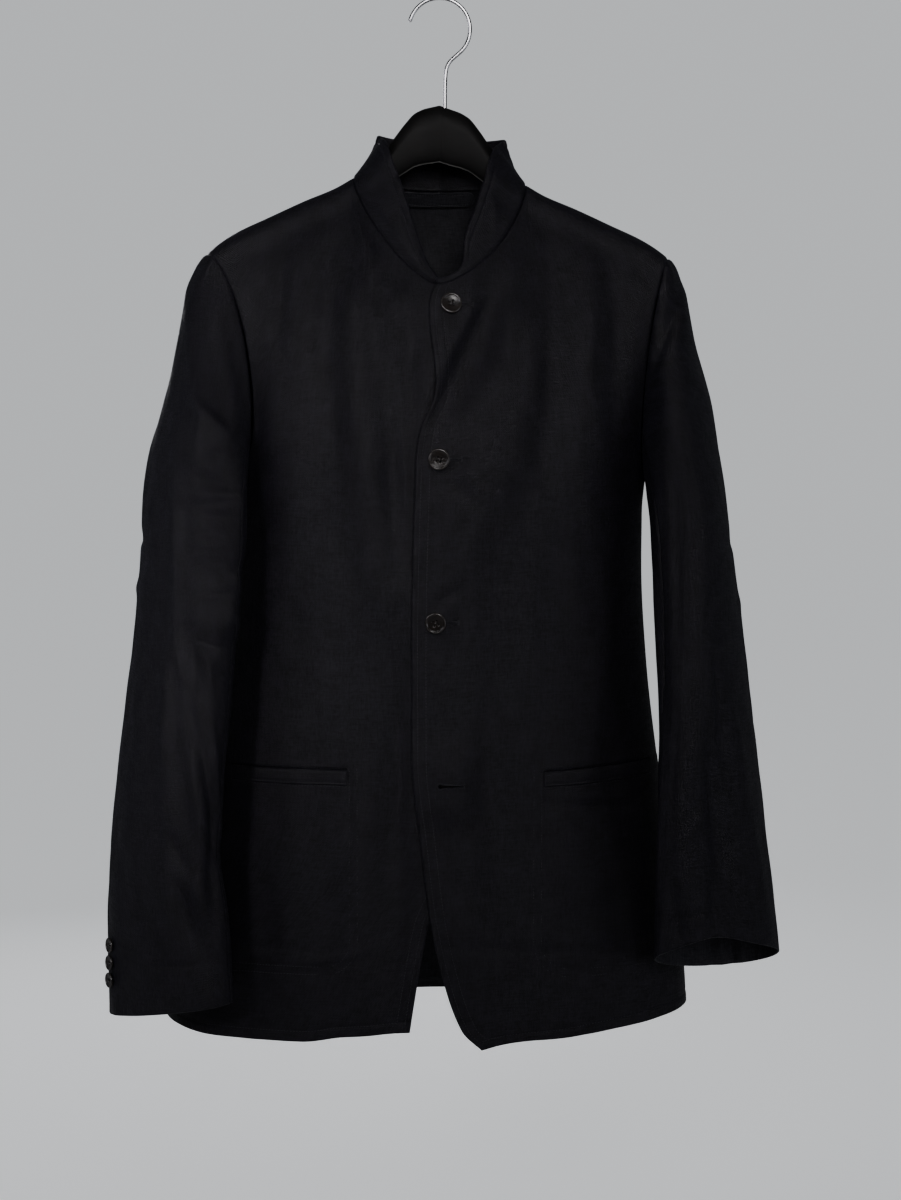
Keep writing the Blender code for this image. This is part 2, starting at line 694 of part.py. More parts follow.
def front_panel(side):
    x, z = front_grid(side)
    grid = panel_point(x, z, "front", side)
    normals = grid_normals(grid) * side
    # At each seam the wall's edge slants as the next piece's does.
    first = len(RIGHT_UNDERLAP) if side < 0 else 0
    around = np.linspace(0, 90, NECK_STEPS + 1)
    around = around if side > 0 else 360 - around
    normals[-1, first : first + NECK_STEPS + 1] = neck_walls(around)["body"]
    normals[-1, first + NECK_STEPS :] = ridge_normal(grid[-1, first + NECK_STEPS :, 0])
    rows = len(FRONT_ROWS) + 2
    normals[:rows, -1] = (side, 0, 0)
    around, _ = armhole_shares()
    normals[rows - 1 :, -1] = seam_normals(side, around)["body"]
    return grid, normals


def back_panel():
    x, z = back_grid()
    grid = panel_point(x, z, "back")
    normals = -grid_normals(grid)
    around = np.linspace(270, 90, 2 * NECK_STEPS + 1)
    normals[-1, SHOULDER_STEPS : -SHOULDER_STEPS] = neck_walls(around)["body"]
    for columns in (slice(0, SHOULDER_STEPS + 1), slice(-SHOULDER_STEPS - 1, None)):
        normals[-1, columns] = ridge_normal(grid[-1, columns, 0])
    rows = len(BACK_ROWS) + 2
    around, _ = armhole_shares()
    for side, column in ((-1, 0), (1, -1)):
        normals[:rows, column] = (side, 0, 0)
        normals[rows - 1 :, column] = seam_normals(side, 360.0 - around)["body"]
    return grid, normals


def sleeve_half(side, which):
    """The top sleeve runs from the hind seam over the outside to the front seam."""
    seams = SLEEVE_SEAM[side]
    down = np.concatenate([[0.0], 0.012 + 0.988 * np.linspace(0, 1, SLEEVE_ROWS) ** 1.15])[:, None]
    hind = seams["hind"][0] + (seams["hind"][1] - seams["hind"][0]) * smooth(down)
    front = seams["front"][0] + (seams["front"][1] - seams["front"][0]) * smooth(down)
    start, end = (hind, front) if which == "top" else (front, hind + 360)
    cells = int(round(float(end[0, 0] - start[0, 0]) / ARMHOLE_STEP))
    share = np.linspace(0, 1, cells + 1)[None, :]
    around = start + share * (end - start)
    trim = np.zeros(cells + 1)
    trim[0], trim[-1] = 0.33, -0.33
    around = around + trim
    down = down + 0 * around
    grid = sleeve_point(side, around, down)
    normals = sleeve_grid_normals(side, around, down)
    edge = seam_normals(side, around[0])
    normals[0] = edge["sleeve"]
    grid[0] = armhole(side, around[0]) + edge["gap"]
    return grid, normals


def sleeve_grid_normals(side, around, down):
    """The folded sleeve's outward directions, the same on both sides of a seam."""
    a = sleeve_point(side, around + 4, down) - sleeve_point(side, around - 4, down)
    lower = sleeve_point(side, around, np.minimum(down + 0.02, 1.0))
    b = lower - sleeve_point(side, around, np.maximum(down - 0.02, 0.0))
    return unit(np.cross(a, b)) * side


def neck_point(around):
    """The neckline's places, from the centre front over the wearer's left shoulder and back."""
    x = NECK_HALF * np.sin(np.radians(around))
    front = np.cos(np.radians(around)) > 1e-6
    x = np.where(around < 0.01, COLLAR_END[1], x)
    x = np.where(around > 359.99, COLLAR_END[-1], x)
    left = panel_point(x, neckline_height(x, "front"), "front", 1)
    right = panel_point(x, neckline_height(x, "front"), "front", -1)
    back = panel_point(x, neckline_height(x, "back"), "back")
    place = np.where(front[:, None], np.where((around < 180)[:, None], left, right), back)
    at_shoulder = np.abs(np.cos(np.radians(around))) < 1e-6
    place[at_shoulder, 1] = 0.0
    return place


def neck_normals(around):
    """The way the panels face along the neckline."""
    base = neck_point(around)
    x, z = base[:, 0], base[:, 2]
    front = (np.cos(np.radians(around)) > 0)[:, None]
    out = np.where(front, body_normal(x, z, "front"), body_normal(x, z, "back"))
    at_shoulder = (np.abs(np.cos(np.radians(around))) < 1e-6)[:, None]
    return np.where(at_shoulder, ridge_normal(x), out)


def collar_way(around):
    """Up the band: square to the neckline, and standing up from the panel by the bend."""
    total = 0
    for shift, weight in ((-8, 0.25), (0, 0.5), (8, 0.25)):
        here = np.clip(around + shift, 1.0, 359.0)
        step = np.minimum(here + 6, 359.9)
        along = unit(neck_point(step) - neck_point(np.maximum(here - 6, 0.1)))
        out = neck_normals(here)
        across = unit(np.cross(out, along))
        bend = np.radians(COLLAR.read("bend", np.where(here > 180, 360 - here, here)))[:, None]
        total = total + weight * (np.cos(bend) * across + np.sin(bend) * out)
    return unit(total)


def neck_walls(around):
    """At the neckline, the way the walls' edges of the panels and of the collar face."""
    base = neck_point(around)
    body_out = neck_normals(around)
    along = unit(np.gradient(base, axis=0))
    way = collar_way(around)
    collar_out = unit(np.cross(along, way))
    collar_out = collar_out * np.sign((collar_out * body_out).sum(-1, keepdims=True))
    body_wall, collar_wall = shared_walls(body_out, collar_out, way)
    return {"body": body_wall, "collar": collar_wall}


def collar_grid():
    around = np.linspace(0, 360, 4 * NECK_STEPS + 1)
    base = neck_point(around)
    way = collar_way(around)
    right, left = COLLAR.read("right", 360 - around), COLLAR.read("left", around)
    tall = np.where(around > 180, right, left)
    steps = np.array([0.0, 0.35, 0.7, 1.0])
    up = ARMHOLE_GAP + steps[:, None] * (tall - ARMHOLE_GAP)[None, :]
    grid = base[None] + way[None] * up[..., None]
    normals = grid_normals(grid)
    normals[0] = neck_walls(around)["collar"]
    return grid, normals


def seated(point, normal, offset):
    """A frame whose +Z leaves the cloth at a point, and whose +Y stays upwards."""
    out = Vector(normal).normalized()
    across = Vector((0, 0, 1)).cross(out).normalized()
    frame = Matrix((across, out.cross(across), out)).transposed().to_4x4()
    frame.translation = (Vector(point) + out * offset) * MM
    return frame


def button(name, size, frame):
    """A turned disc with a raised rim and a dished middle."""
    r, t = size["radius"], size["thick"]
    profile = (
        (0.0, 0.0),
        (0.62 * r, 0.0),
        (0.95 * r, 0.30 * t),
        (r, 0.62 * t),
        (0.93 * r, t),
        (0.78 * r, 0.97 * t),
        (0.62 * r, 0.70 * t),
        (0.0, 0.60 * t),
    )
    mesh = bpy.data.meshes.new(name)
    made = bmesh.new()
    points = [made.verts.new((x * MM, 0, z * MM)) for x, z in profile]
    edges = [made.edges.new(pair) for pair in zip(points, points[1:])]
    bmesh.ops.spin(
        made, geom=points + edges, cent=(0, 0, 0), axis=(0, 0, 1), angle=2 * math.pi, steps=18
    )
    bmesh.ops.remove_doubles(made, verts=made.verts, dist=1e-5)
    bmesh.ops.recalc_face_normals(made, faces=made.faces)
    made.to_mesh(mesh)
    made.free()
    mesh.transform(frame)
    mesh.materials.append(material("horn_button"))
    obj = bpy.data.objects.new(name, mesh)
    home.objects.link(obj)
    mesh.shade_smooth()
    return obj


def hanger_station(across):
    side = 1 if across > 0 else -1
    far = abs(across)
    x = across + HANGER_CENTRE * (1 - far / HANGER_END)
    top = float(shoulder_height(x)) + float(HANGER.read("above", far))
    tall = float(HANGER.read("tall", far))
    half = float(SHOULDER.read("thick", far) - HANGER.read("slack", far))
    upper = min(SHOULDER_ROLL - 2.6, tall * 0.62)
    ring = []
    for k in range(HANGER_RING):
        angle = 2 * math.pi * k / HANGER_RING
        rise = math.sin(angle)
        reach = upper if rise > 0 else tall - upper
        wide = math.copysign(abs(math.cos(angle)) ** HANGER_SHARPNESS, math.cos(angle))
        ring.append((x, half * wide, top - upper + reach * rise))
    return ring


def build_hanger():
    """A moulded arm swept from end to end, with a bore for the hook's stem."""
    half = [0, 8, 16, 24, 32, 40, 50, 62, 78, 96, 124, 155, 182, 197, 203, 206]
    stations = [-x for x in half[:0:-1]] + half
    points, faces = [], []
    for across in stations:
        points += hanger_station(across)
    for i in range(len(stations) - 1):
        for k in range(HANGER_RING):
            a = i * HANGER_RING + k
            b = i * HANGER_RING + (k + 1) % HANGER_RING
            faces.append((a, b, b + HANGER_RING, a + HANGER_RING))
    faces.append(tuple(range(HANGER_RING))[::-1])
    last = (len(stations) - 1) * HANGER_RING
    faces.append(tuple(range(last, last + HANGER_RING)))
    hanger = add_mesh("hanger", points, faces, "hanger_plastic")
    turned = bmesh.new()
    turned.from_mesh(hanger.data)
    bmesh.ops.recalc_face_normals(turned, faces=turned.faces)
    turned.to_mesh(hanger.data)
    turned.free()
    x, z = HOOK_STEM[-1]
    bpy.ops.mesh.primitive_cylinder_add(vertices=16, radius=(HOOK_WIRE + 0.3) * MM, depth=0.060)
    bore = bpy.context.object
    bore.name = "stem_bore"
    bore.location = (x * MM, 0, (z - 0.5) * MM + 0.030)
    move_to(bore, helpers)
    bore.hide_render = True
    bore.display_type = "WIRE"
    cut = hanger.modifiers.new("stem_bore", "BOOLEAN")
    cut.operation = "DIFFERENCE"
    cut.solver = "EXACT"
    cut.object = bore
    return hanger


def move_to(obj, collection):
    for other in list(obj.users_collection):
        other.objects.unlink(obj)
    collection.objects.link(obj)


def build_hook():
    """One bent wire: a round crook, a shallow neck and a straight stem down into the hanger."""
    radius = HOOK_RADIUS + HOOK_WIRE
    places = []
    for k in range(19):
        angle = math.radians(HOOK_TIP_ANGLE + (HOOK_LEAVES - HOOK_TIP_ANGLE) * k / 18)
        places.append((radius * math.cos(angle), radius * math.sin(angle) - HOOK_RADIUS))
    places += HOOK_STEM
    curve = bpy.data.curves.new("hook", "CURVE")
    curve.dimensions = "3D"
    curve.bevel_depth = HOOK_WIRE * MM
    curve.bevel_resolution = 2
    curve.use_fill_caps = True
    line = curve.splines.new("POLY")
    line.points.add(len(places) - 1)
    for point, (x, z) in zip(line.points, places):
        point.co = (x * MM, 0, z * MM, 1)
    curve.materials.append(material("hook_chrome"))
    obj = bpy.data.objects.new("hook", curve)
    home.objects.link(obj)


# ---------------------------------------------------------------- the scene
for old in list(bpy.data.objects):
    bpy.data.objects.remove(old)
home = bpy.data.collections.new("nehru_jacket")
helpers = bpy.data.collections.new("cutters")
bpy.context.scene.collection.children.link(home)
bpy.context.scene.collection.children.link(helpers)

SIDE_NAME = {1: "left", -1: "right"}
for side in (1, -1):
    named = SIDE_NAME[side]
    grid, normals = front_panel(side)
    cloth(f"front_{named}", grid, normals, CLOTH, "linen")
    first, last = POCKET_COLUMNS[side]
    rows = slice(WELT_ROWS[0], WELT_ROWS[1] + 1)
    columns = slice(first, last + 1)
    away = grid[rows, columns] + normals[rows, columns] * (LAYER_GAP + WELT)
    cloth(f"pocket_welt_{named}", away, normals[rows, columns], WELT, "linen")
    rows = slice(BAG_ROWS[0], BAG_ROWS[1] + 1)
    behind = grid[rows, columns] - normals[rows, columns] * (CLOTH + LAYER_GAP)
    cloth(f"pocket_bag_{named}", behind, normals[rows, columns], BAG, "linen_inside")
    for which in ("top", "under"):
        cloth(f"{which}_sleeve_{named}", *sleeve_half(side, which), CLOTH, "linen")
cloth("back", *back_panel(), CLOTH, "linen")
cloth("collar", *collar_grid(), BAND, "linen")

loop_x = np.linspace(LOOP["left"], LOOP["right"], 4)[None, :] + np.zeros((3, 1))
loop_z = np.linspace(LOOP["bottom"], LOOP["top"], 3)[:, None] + 0 * loop_x
loop = panel_point(loop_x, loop_z, "back") - body_normal(loop_x, loop_z, "back") * (CLOTH + 0.8)
cloth("hanger_loop", loop, -grid_normals(loop), WELT, "linen")

for name, (x, z, stem) in FRONT_BUTTONS.items():
    x, z = np.array(x), np.array(z)
    frame = seated(panel_point(x, z, "front", 1), body_normal(x, z, "front"), stem)
    button(name, FRONT_BUTTON, frame)
x, z, stem = (np.array(value) for value in COVERED_BUTTON)
frame = seated(panel_point(x, z, "front", -1), body_normal(x, z, "front"), float(stem))
button("button_front_4", FRONT_BUTTON, frame)
for side in (1, -1):
    for k in range(3):
        down = np.array(1 - (CUFF_BUTTON_LOWEST + k * CUFF_BUTTON_PITCH) / SLEEVE_LENGTH)
        hind = SLEEVE_SEAM[side]["hind"]
        around = hind[0] + (hind[1] - hind[0]) * smooth(down) + CUFF_BUTTON_AROUND
        place = sleeve_point(side, around, down)
        out = sleeve_grid_normals(side, around, down)
        name = f"button_cuff_{SIDE_NAME[side]}_{3 - k}"
        button(name, CUFF_BUTTON, seated(place, out, CUFF_SHANK))

build_hanger()
build_hook()
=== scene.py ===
"""A stand-collar jacket of dark linen, buttoned and hanging on a broad black hanger.

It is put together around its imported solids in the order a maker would: the back, the fronts
and their pockets, the sleeves, the collar and its loop, the stitching, the buttonholes and
buttons, then the hanger. Sizes are in millimetres and degrees until a mesh is made.
"""

import math

import bmesh
import bpy
import numpy as np
from mathutils import Matrix, Vector


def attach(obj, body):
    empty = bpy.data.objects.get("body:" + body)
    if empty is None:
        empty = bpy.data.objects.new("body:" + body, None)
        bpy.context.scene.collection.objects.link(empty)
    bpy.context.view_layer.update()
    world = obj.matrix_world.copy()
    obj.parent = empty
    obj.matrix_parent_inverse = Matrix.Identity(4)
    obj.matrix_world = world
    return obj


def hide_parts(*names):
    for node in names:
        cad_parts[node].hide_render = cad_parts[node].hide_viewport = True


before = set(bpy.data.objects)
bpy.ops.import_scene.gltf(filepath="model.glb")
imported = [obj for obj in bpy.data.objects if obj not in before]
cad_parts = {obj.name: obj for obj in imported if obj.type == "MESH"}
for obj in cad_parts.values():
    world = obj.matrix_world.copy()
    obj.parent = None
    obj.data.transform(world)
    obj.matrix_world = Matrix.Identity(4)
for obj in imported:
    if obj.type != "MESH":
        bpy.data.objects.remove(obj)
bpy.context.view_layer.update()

# ================================================================ the back
# One piece of linen from the hem to the neck, cut on the straight grain and sewn to the
# fronts at the shoulders and sides. It hangs from the hanger's arms, so its form is that of
# a rounded oval that grows out of the shoulder line, with long soft folds below the blades.

MM = 0.001
CLOTH = 1.5  # the linen with its turnings
HEM_STITCH = 9.0  # above the hem's edge
HEM_GROOVE = (0.35, 1.3)  # how deep and how wide its stitches draw the cloth in
SEAM_FADE = 26.0  # over this distance from a side seam or an armhole the folds die out
TOP_FADE = 30.0  # and over this one below the neck and the shoulders
NECK_HALF = 79.0  # from the centre to the side of the neck
NECK_DROP = {"front": 96.0, "back": 6.0}
NECK_POWER = {"front": {-1: 1.35, 1: 1.54}, "back": {-1: 2.0, 1: 2.0}}
SHOULDER_LEAN = 4.0  # the hanger sits a little lower on the wearer's left
SHOULDER_ROLL = 20.0
BODY_POWER = 2.4  # roundness of the body in plan, 2 being an ellipse
UNDERARM = -430.0
ARMHOLE_TOP = {-1: 214.0, 1: 210.0}
ARMHOLE_BOW = {-1: {"front": 31.0, "back": 13.0}, 1: {"front": 13.0, "back": 13.0}}


class Table:
    """Rows of numbers under named columns, read smoothly along the first column."""

    def __init__(self, columns, *rows):
        data = np.array(sorted(rows), float)
        self.at = data[:, 0]
        self.columns = {name: data[:, k] for k, name in enumerate(columns)}

    def read(self, column, at):
        """A cubic through the rows that never overshoots them."""
        known = self.columns[column]
        width = np.diff(self.at)
        rise = np.diff(known) / width
        same = rise[1:] * rise[:-1] > 0
        safe = np.where(same, rise[1:] + rise[:-1], 1.0)
        inner = np.where(same, 2 * rise[1:] * rise[:-1] / safe, 0.0)
        slope = np.concatenate([rise[:1], inner, rise[-1:]])
        at = np.clip(np.asarray(at, float), self.at[0], self.at[-1])
        row = np.clip(np.searchsorted(self.at, at) - 1, 0, len(width) - 1)
        t = (at - self.at[row]) / width[row]
        start = (1 + 2 * t) * known[row] + t * width[row] * slope[row]
        end = (3 - 2 * t) * known[row + 1] - (1 - t) * width[row] * slope[row + 1]
        return start * (1 - t) ** 2 + end * t**2


BODY = Table(
    ("height", "centre", "half_width", "front", "back"),
    (-240, 0, 240, 100, 70),
    (-300, 0, 220, 102, 72),
    (-360, 0, 203, 102, 74),
    (-430, 0, 189, 100, 76),
    (-465, 0, 186, 99, 76),
    (-520, -2, 188, 97, 76),
    (-600, -4, 195, 95, 77),
    (-700, -8, 211, 96, 81),
    (-800, -10, 226, 98, 87),
    (-880, -12, 240, 100, 92),
    (-945, -12, 244, 101, 95),
)
SHOULDER = Table(
    ("across", "height", "thick"),
    (0, -131, 14),
    (40, -143, 14),
    (79, -162, 15),
    (95, -171, 17),
    (124, -183, 20),
    (157, -198, 23),
    (185, -211, 25),
    (205, -224, 25),
    (219, -238, 23),
    (260, -290, 23),
)
FALL = Table(
    ("drop", "front", "back"),
    (0, 0, 0),
    (20, 0.03, 0.15),
    (50, 0.22, 0.45),
    (90, 0.46, 0.65),
    (140, 0.71, 0.82),
    (200, 0.9, 0.94),
    (270, 1, 1),
)
HEM = {
    1: Table(
        ("x", "height"), (38, -941), (69, -935), (115, -932), (156, -927), (197, -922), (232, -918)
    ),
    -1: Table(("x", "height"), (-256, -930), (-210, -935), (-125, -935), (-88, -930), (-27, -925)),
    0: Table(("x", "height"), (-256, -930), (-120, -934), (0, -932), (100, -928), (232, -918)),
}
# Ridges and troughs on a bent line: start, middle, end, half width, height, and how much
# steeper one side is than the other.
BACK_FOLDS = (
    (-60, -230, -74, -420, -70, -640, 34, 6, 0),
    (64, -235, 80, -430, 76, -650, 34, 6, 0),
    (0, -420, 4, -650, 2, -932, 40, -7, 0),
    (-130, -560, -138, -760, -140, -934, 30, 7, 0),
    (132, -560, 140, -760, 142, -926, 30, 7, 0),
    (-160, -330, -146, -400, -120, -470, 18, -5, 0),
    (160, -335, 146, -405, 120, -470, 18, -5, 0),
    (-168, -300, -160, -350, -140, -400, 8, 2.0, 0.3),
    (166, -290, 158, -345, 140, -392, 8, 2.0, -0.3),
    (-120, -215, -126, -290, -122, -380, 12, 2.2, 0),
    (118, -215, 124, -300, 120, -390, 11, 1.8, 0),
    (-34, -185, -38, -260, -42, -350, 12, 1.8, 0.2),
    (36, -185, 42, -255, 40, -330, 12, 1.6, 0),
    (-150, -520, -80, -532, -20, -528, 7, 1.6, 0.3),
    (-120, -556, -60, -566, 10, -560, 6, -1.5, 0),
    (30, -540, 90, -552, 150, -540, 7, 1.4, -0.3),
    (-96, -640, -104, -760, -98, -900, 12, -2.6, 0),
    (92, -640, 104, -750, 104, -890, 12, -2.4, 0),
    (46, -700, 52, -800, 46, -925, 11, 1.8, 0),
    (-50, -690, -52, -800, -58, -928, 10, 1.6, 0),
    (-200, -852, -60, -858, 60, -856, 4, -1.0, 0),
    (-20, -856, 90, -854, 200, -848, 4, -0.9, 0),
)


def smooth(t):
    """From 0 to 1 with no corner at either end."""
    t = np.clip(t, 0, 1)
    return t * t * (3 - 2 * t)


def unit(vectors):
    return vectors / np.maximum(np.linalg.norm(vectors, axis=-1, keepdims=True), 1e-9)


def shoulder_height(x):
    return SHOULDER.read("height", np.abs(x)) - SHOULDER_LEAN * x / np.hypot(x, 60)


def neckline_height(x, face):
    share = np.clip(np.abs(x) / NECK_HALF, 0, 1)
    side = np.where(x < 0, -NECK_HALF, NECK_HALF)
    middle = SHOULDER.read("height", NECK_HALF)
    level = middle + (shoulder_height(side) - middle) * share**2
    power = np.where(x < 0, NECK_POWER[face][-1], NECK_POWER[face][1])
    return level - NECK_DROP[face] * (1 - share**power) ** (1 / power)


def body_depth(x, z, face):
    """How far the cloth stands off the middle plane of the jacket."""
    share = np.abs(x - BODY.read("centre", z)) / BODY.read("half_width", z)
    oval = np.clip(1 - share**BODY_POWER, 0, 1) ** (1 / BODY_POWER)
    drop = np.clip(shoulder_height(x) - z, 0, 900)
    turned = np.sqrt(1 - (1 - np.clip(drop / SHOULDER_ROLL, 0, 1)) ** 2)
    thick = SHOULDER.read("thick", np.abs(x)) * smooth(oval / 0.4)
    fallen = FALL.read(face, drop)
    return thick * turned * (1 - fallen) + BODY.read(face, z) * oval * fallen


def body_normal(x, z, face):
    step = 1.0
    inner = x - step * np.sign(x)
    across = (body_depth(x, z, face) - body_depth(inner, z, face)) / (x - inner + 1e-12)
    down = (body_depth(x, z + step, face) - body_depth(x, z - step, face)) / (2 * step)
    out = -1 if face == "front" else 1
    return unit(np.stack(np.broadcast_arrays(-across, out + 0 * x, -down), axis=-1))


def creases(across, height, rows):
    """The sum of the rows' ridges and troughs, each soft and fading out towards its ends."""
    across, height = np.broadcast_arrays(across, height)
    total = np.zeros(across.shape)
    for x0, z0, x1, z1, x2, z2, wide, tall, lean in rows:
        t = np.linspace(0, 1, 9)
        bend_x, bend_z = 2 * x1 - (x0 + x2) / 2, 2 * z1 - (z0 + z2) / 2
        line_x = (1 - t) ** 2 * x0 + 2 * t * (1 - t) * bend_x + t * t * x2
        line_z = (1 - t) ** 2 * z0 + 2 * t * (1 - t) * bend_z + t * t * z2
        nearest = np.full(across.shape, 1e9)
        along = np.zeros(across.shape)
        way = np.zeros(across.shape)
        for k in range(8):
            run_x, run_z = line_x[k + 1] - line_x[k], line_z[k + 1] - line_z[k]
            off_x, off_z = across - line_x[k], height - line_z[k]
            share = np.clip((off_x * run_x + off_z * run_z) / (run_x**2 + run_z**2), 0, 1)
            far = np.hypot(off_x - share * run_x, off_z - share * run_z)
            closer = far < nearest
            nearest = np.where(closer, far, nearest)
            along = np.where(closer, (k + share) / 8, along)
            way = np.where(closer, np.sign(run_x * off_z - run_z * off_x), way)
        reach = wide * (1 + lean * way)
        total += tall * (0.3 + 0.7 * np.sin(math.pi * along)) * np.exp(-((nearest / reach) ** 2))
    return total


def unevenness(across, height, seed, pitch, tall):
    """The slight unevenness of worn linen: long waves, mostly upright, that never line up."""
    chance = np.random.default_rng(seed)
    total = 0
    for _ in range(12):
        length = pitch * chance.uniform(0.6, 2.2)
        tilt = chance.normal(0, 0.35)
        phase = chance.uniform(0, 6.28)
        sway = chance.uniform(2, 5) * np.sin(height / chance.uniform(40, 90) + phase)
        total = total + np.sin(6.28 * (across + sway + tilt * height) / length + phase)
    return tall * total / 3.5


def side_line(x, z):
    """How far inside the side seam and the armhole a place is."""
    low = BODY.read("half_width", z) - np.abs(x - BODY.read("centre", z))
    tip = np.where(x < 0, ARMHOLE_TOP[-1], ARMHOLE_TOP[1])
    return np.where(z > UNDERARM, np.minimum(low, tip - 20 - np.abs(x)), low)


def hung(x, z, face, lift):
    """A place on the body's form, moved outwards by the lift where the seams let it move."""
    out = -1 if face == "front" else 1
    place = np.stack(np.broadcast_arrays(x, out * body_depth(x, z, face), z), axis=-1)
    top = np.where(np.abs(x) < NECK_HALF, neckline_height(x, face), shoulder_height(x))
    fade = smooth(side_line(x, z) / SEAM_FADE) * smooth((top - z) / TOP_FADE)
    return place, body_normal(x, z, face), fade * lift


def back_point(x, z):
    lift = creases(x, z, BACK_FOLDS) + unevenness(x, z, 5, 46, 0.5)
    place, normal, lift = hung(x, z, "back", lift)
    return place + normal * lift[..., None]


def armhole(side, around):
    """The seam between body and sleeve. It starts at the shoulder tip and goes down the front."""
    turn = np.radians(around)
    share = (1 - np.cos(turn)) / 2
    top = shoulder_height(side * ARMHOLE_TOP[side])
    z = top + (UNDERARM - top) * share
    low_x = BODY.read("centre", UNDERARM) * side + BODY.read("half_width", UNDERARM)
    straight = ARMHOLE_TOP[side] + (low_x - ARMHOLE_TOP[side]) * share
    front = np.sin(turn) >= 0
    bow = np.where(front, ARMHOLE_BOW[side]["front"], ARMHOLE_BOW[side]["back"])
    x = side * (straight - bow * np.abs(np.sin(turn)))
    y = np.where(front, -body_depth(x, z, "front"), body_depth(x, z, "back"))
    return np.stack([x, y, z], axis=-1)


def spread(start, end, count, *bands):
    """Places from start to end, closer together in each band of (centre, half width, times)."""
    x = np.linspace(start, end, 1500)
    density = np.ones(1500)
    for centre, half, times in bands:
        density += (times - 1) * np.exp(-(((x - centre) / half) ** 4))
    total = np.concatenate([[0], np.cumsum((density[1:] + density[:-1]) / 2)])
    return np.interp(np.linspace(0, total[-1], count), total, x)


def turned_columns(edge, side, z, count, *bands):
    """Places across from an edge to the side seam, closer together where the cloth turns."""
    centre, half = float(BODY.read("centre", z)), float(BODY.read("half_width", z))

    def angle(x):
        return math.asin(np.clip(side * (x - centre) / half, -1, 1))

    fine = [
        (angle(x), width / half / max(math.cos(angle(x)), 0.3), times) for x, width, times in bands
    ]
    turn = spread(angle(edge), math.pi / 2, count, *fine)
    return centre + side * half * np.sin(turn)


def side_x(side, face, z):
    """The side seam, and above the underarm the armhole's edge."""
    low = BODY.read("centre", z) + side * BODY.read("half_width", z)
    top = shoulder_height(side * ARMHOLE_TOP[side])
    share = np.clip((z - UNDERARM) / (top - UNDERARM), 0, 1)
    around = np.degrees(np.arccos(2 * share - 1)) * (1 if face == "front" else -1)
    return np.where(z > UNDERARM, armhole(side, around)[..., 0], low)


def body_grid(low, top_x, top_z, hem, lines, near, low_rows, high_rows):
    """Places across and heights from the hem up, in columns that fan out below the neck.

    Low is each column's share of the way across below the arm. Lines give the two edges'
    places at a height, and near says how much each column moves with them further up.
    """
    across, height = [], []
    hem_x = top_x
    for _ in range(4):
        hem_z = hem.read("height", hem_x)
        start, end = lines[0](hem_z[0]), lines[1](hem_z[-1])
        hem_x = start + low * (end - start)
    for share in low_rows:
        level = hem_z + share * (UNDERARM - hem_z)
        start, end = lines[0](level[0]), lines[1](level[-1])
        across.append(start + low * (end - start))
        height.append(level)
    for share in high_rows[1:]:
        level = UNDERARM + share * (top_z - UNDERARM)
        start, end = lines[0](level[0]), lines[1](level[-1])
        high = top_x + near[0] * (start - top_x[0]) + near[1] * (end - top_x[-1])
        mix = smooth(share)
        across.append((1 - mix) * (start + low * (end - start)) + mix * high)
        height.append(level)
    return np.array(across), np.array(height)


def grid_normals(grid):
    """Outward where the columns run to the wearer's left and the rows run up."""
    return unit(np.cross(np.gradient(grid, axis=1), np.gradient(grid, axis=0)))


def walked(grid, axis):
    """The distance walked along the cloth from the first row or column."""
    steps = np.linalg.norm(np.diff(grid, axis=axis), axis=-1)
    start = np.zeros_like(np.take(steps, [0], axis=axis))
    return np.cumsum(np.concatenate([start, steps], axis=axis), axis=axis)


def edge_distances(grid):
    """How far each place is from the grid's first and last columns, and its first and last rows."""
    across, along = walked(grid, 1), walked(grid, 0)
    return across, across[:, -1:] - across, along, along[-1:] - along


def sunk(distance, depth=1.0, wide=1.7):
    """The groove that a seam or a row of stitches draws into the cloth."""
    return -depth * np.exp(-((distance / wide) ** 2))


def new_object(name, mesh):
    """An object at the scene's origin, with its place in its mesh."""
    made = bpy.data.objects.new(name, mesh)
    bpy.context.scene.collection.objects.link(made)
    return made


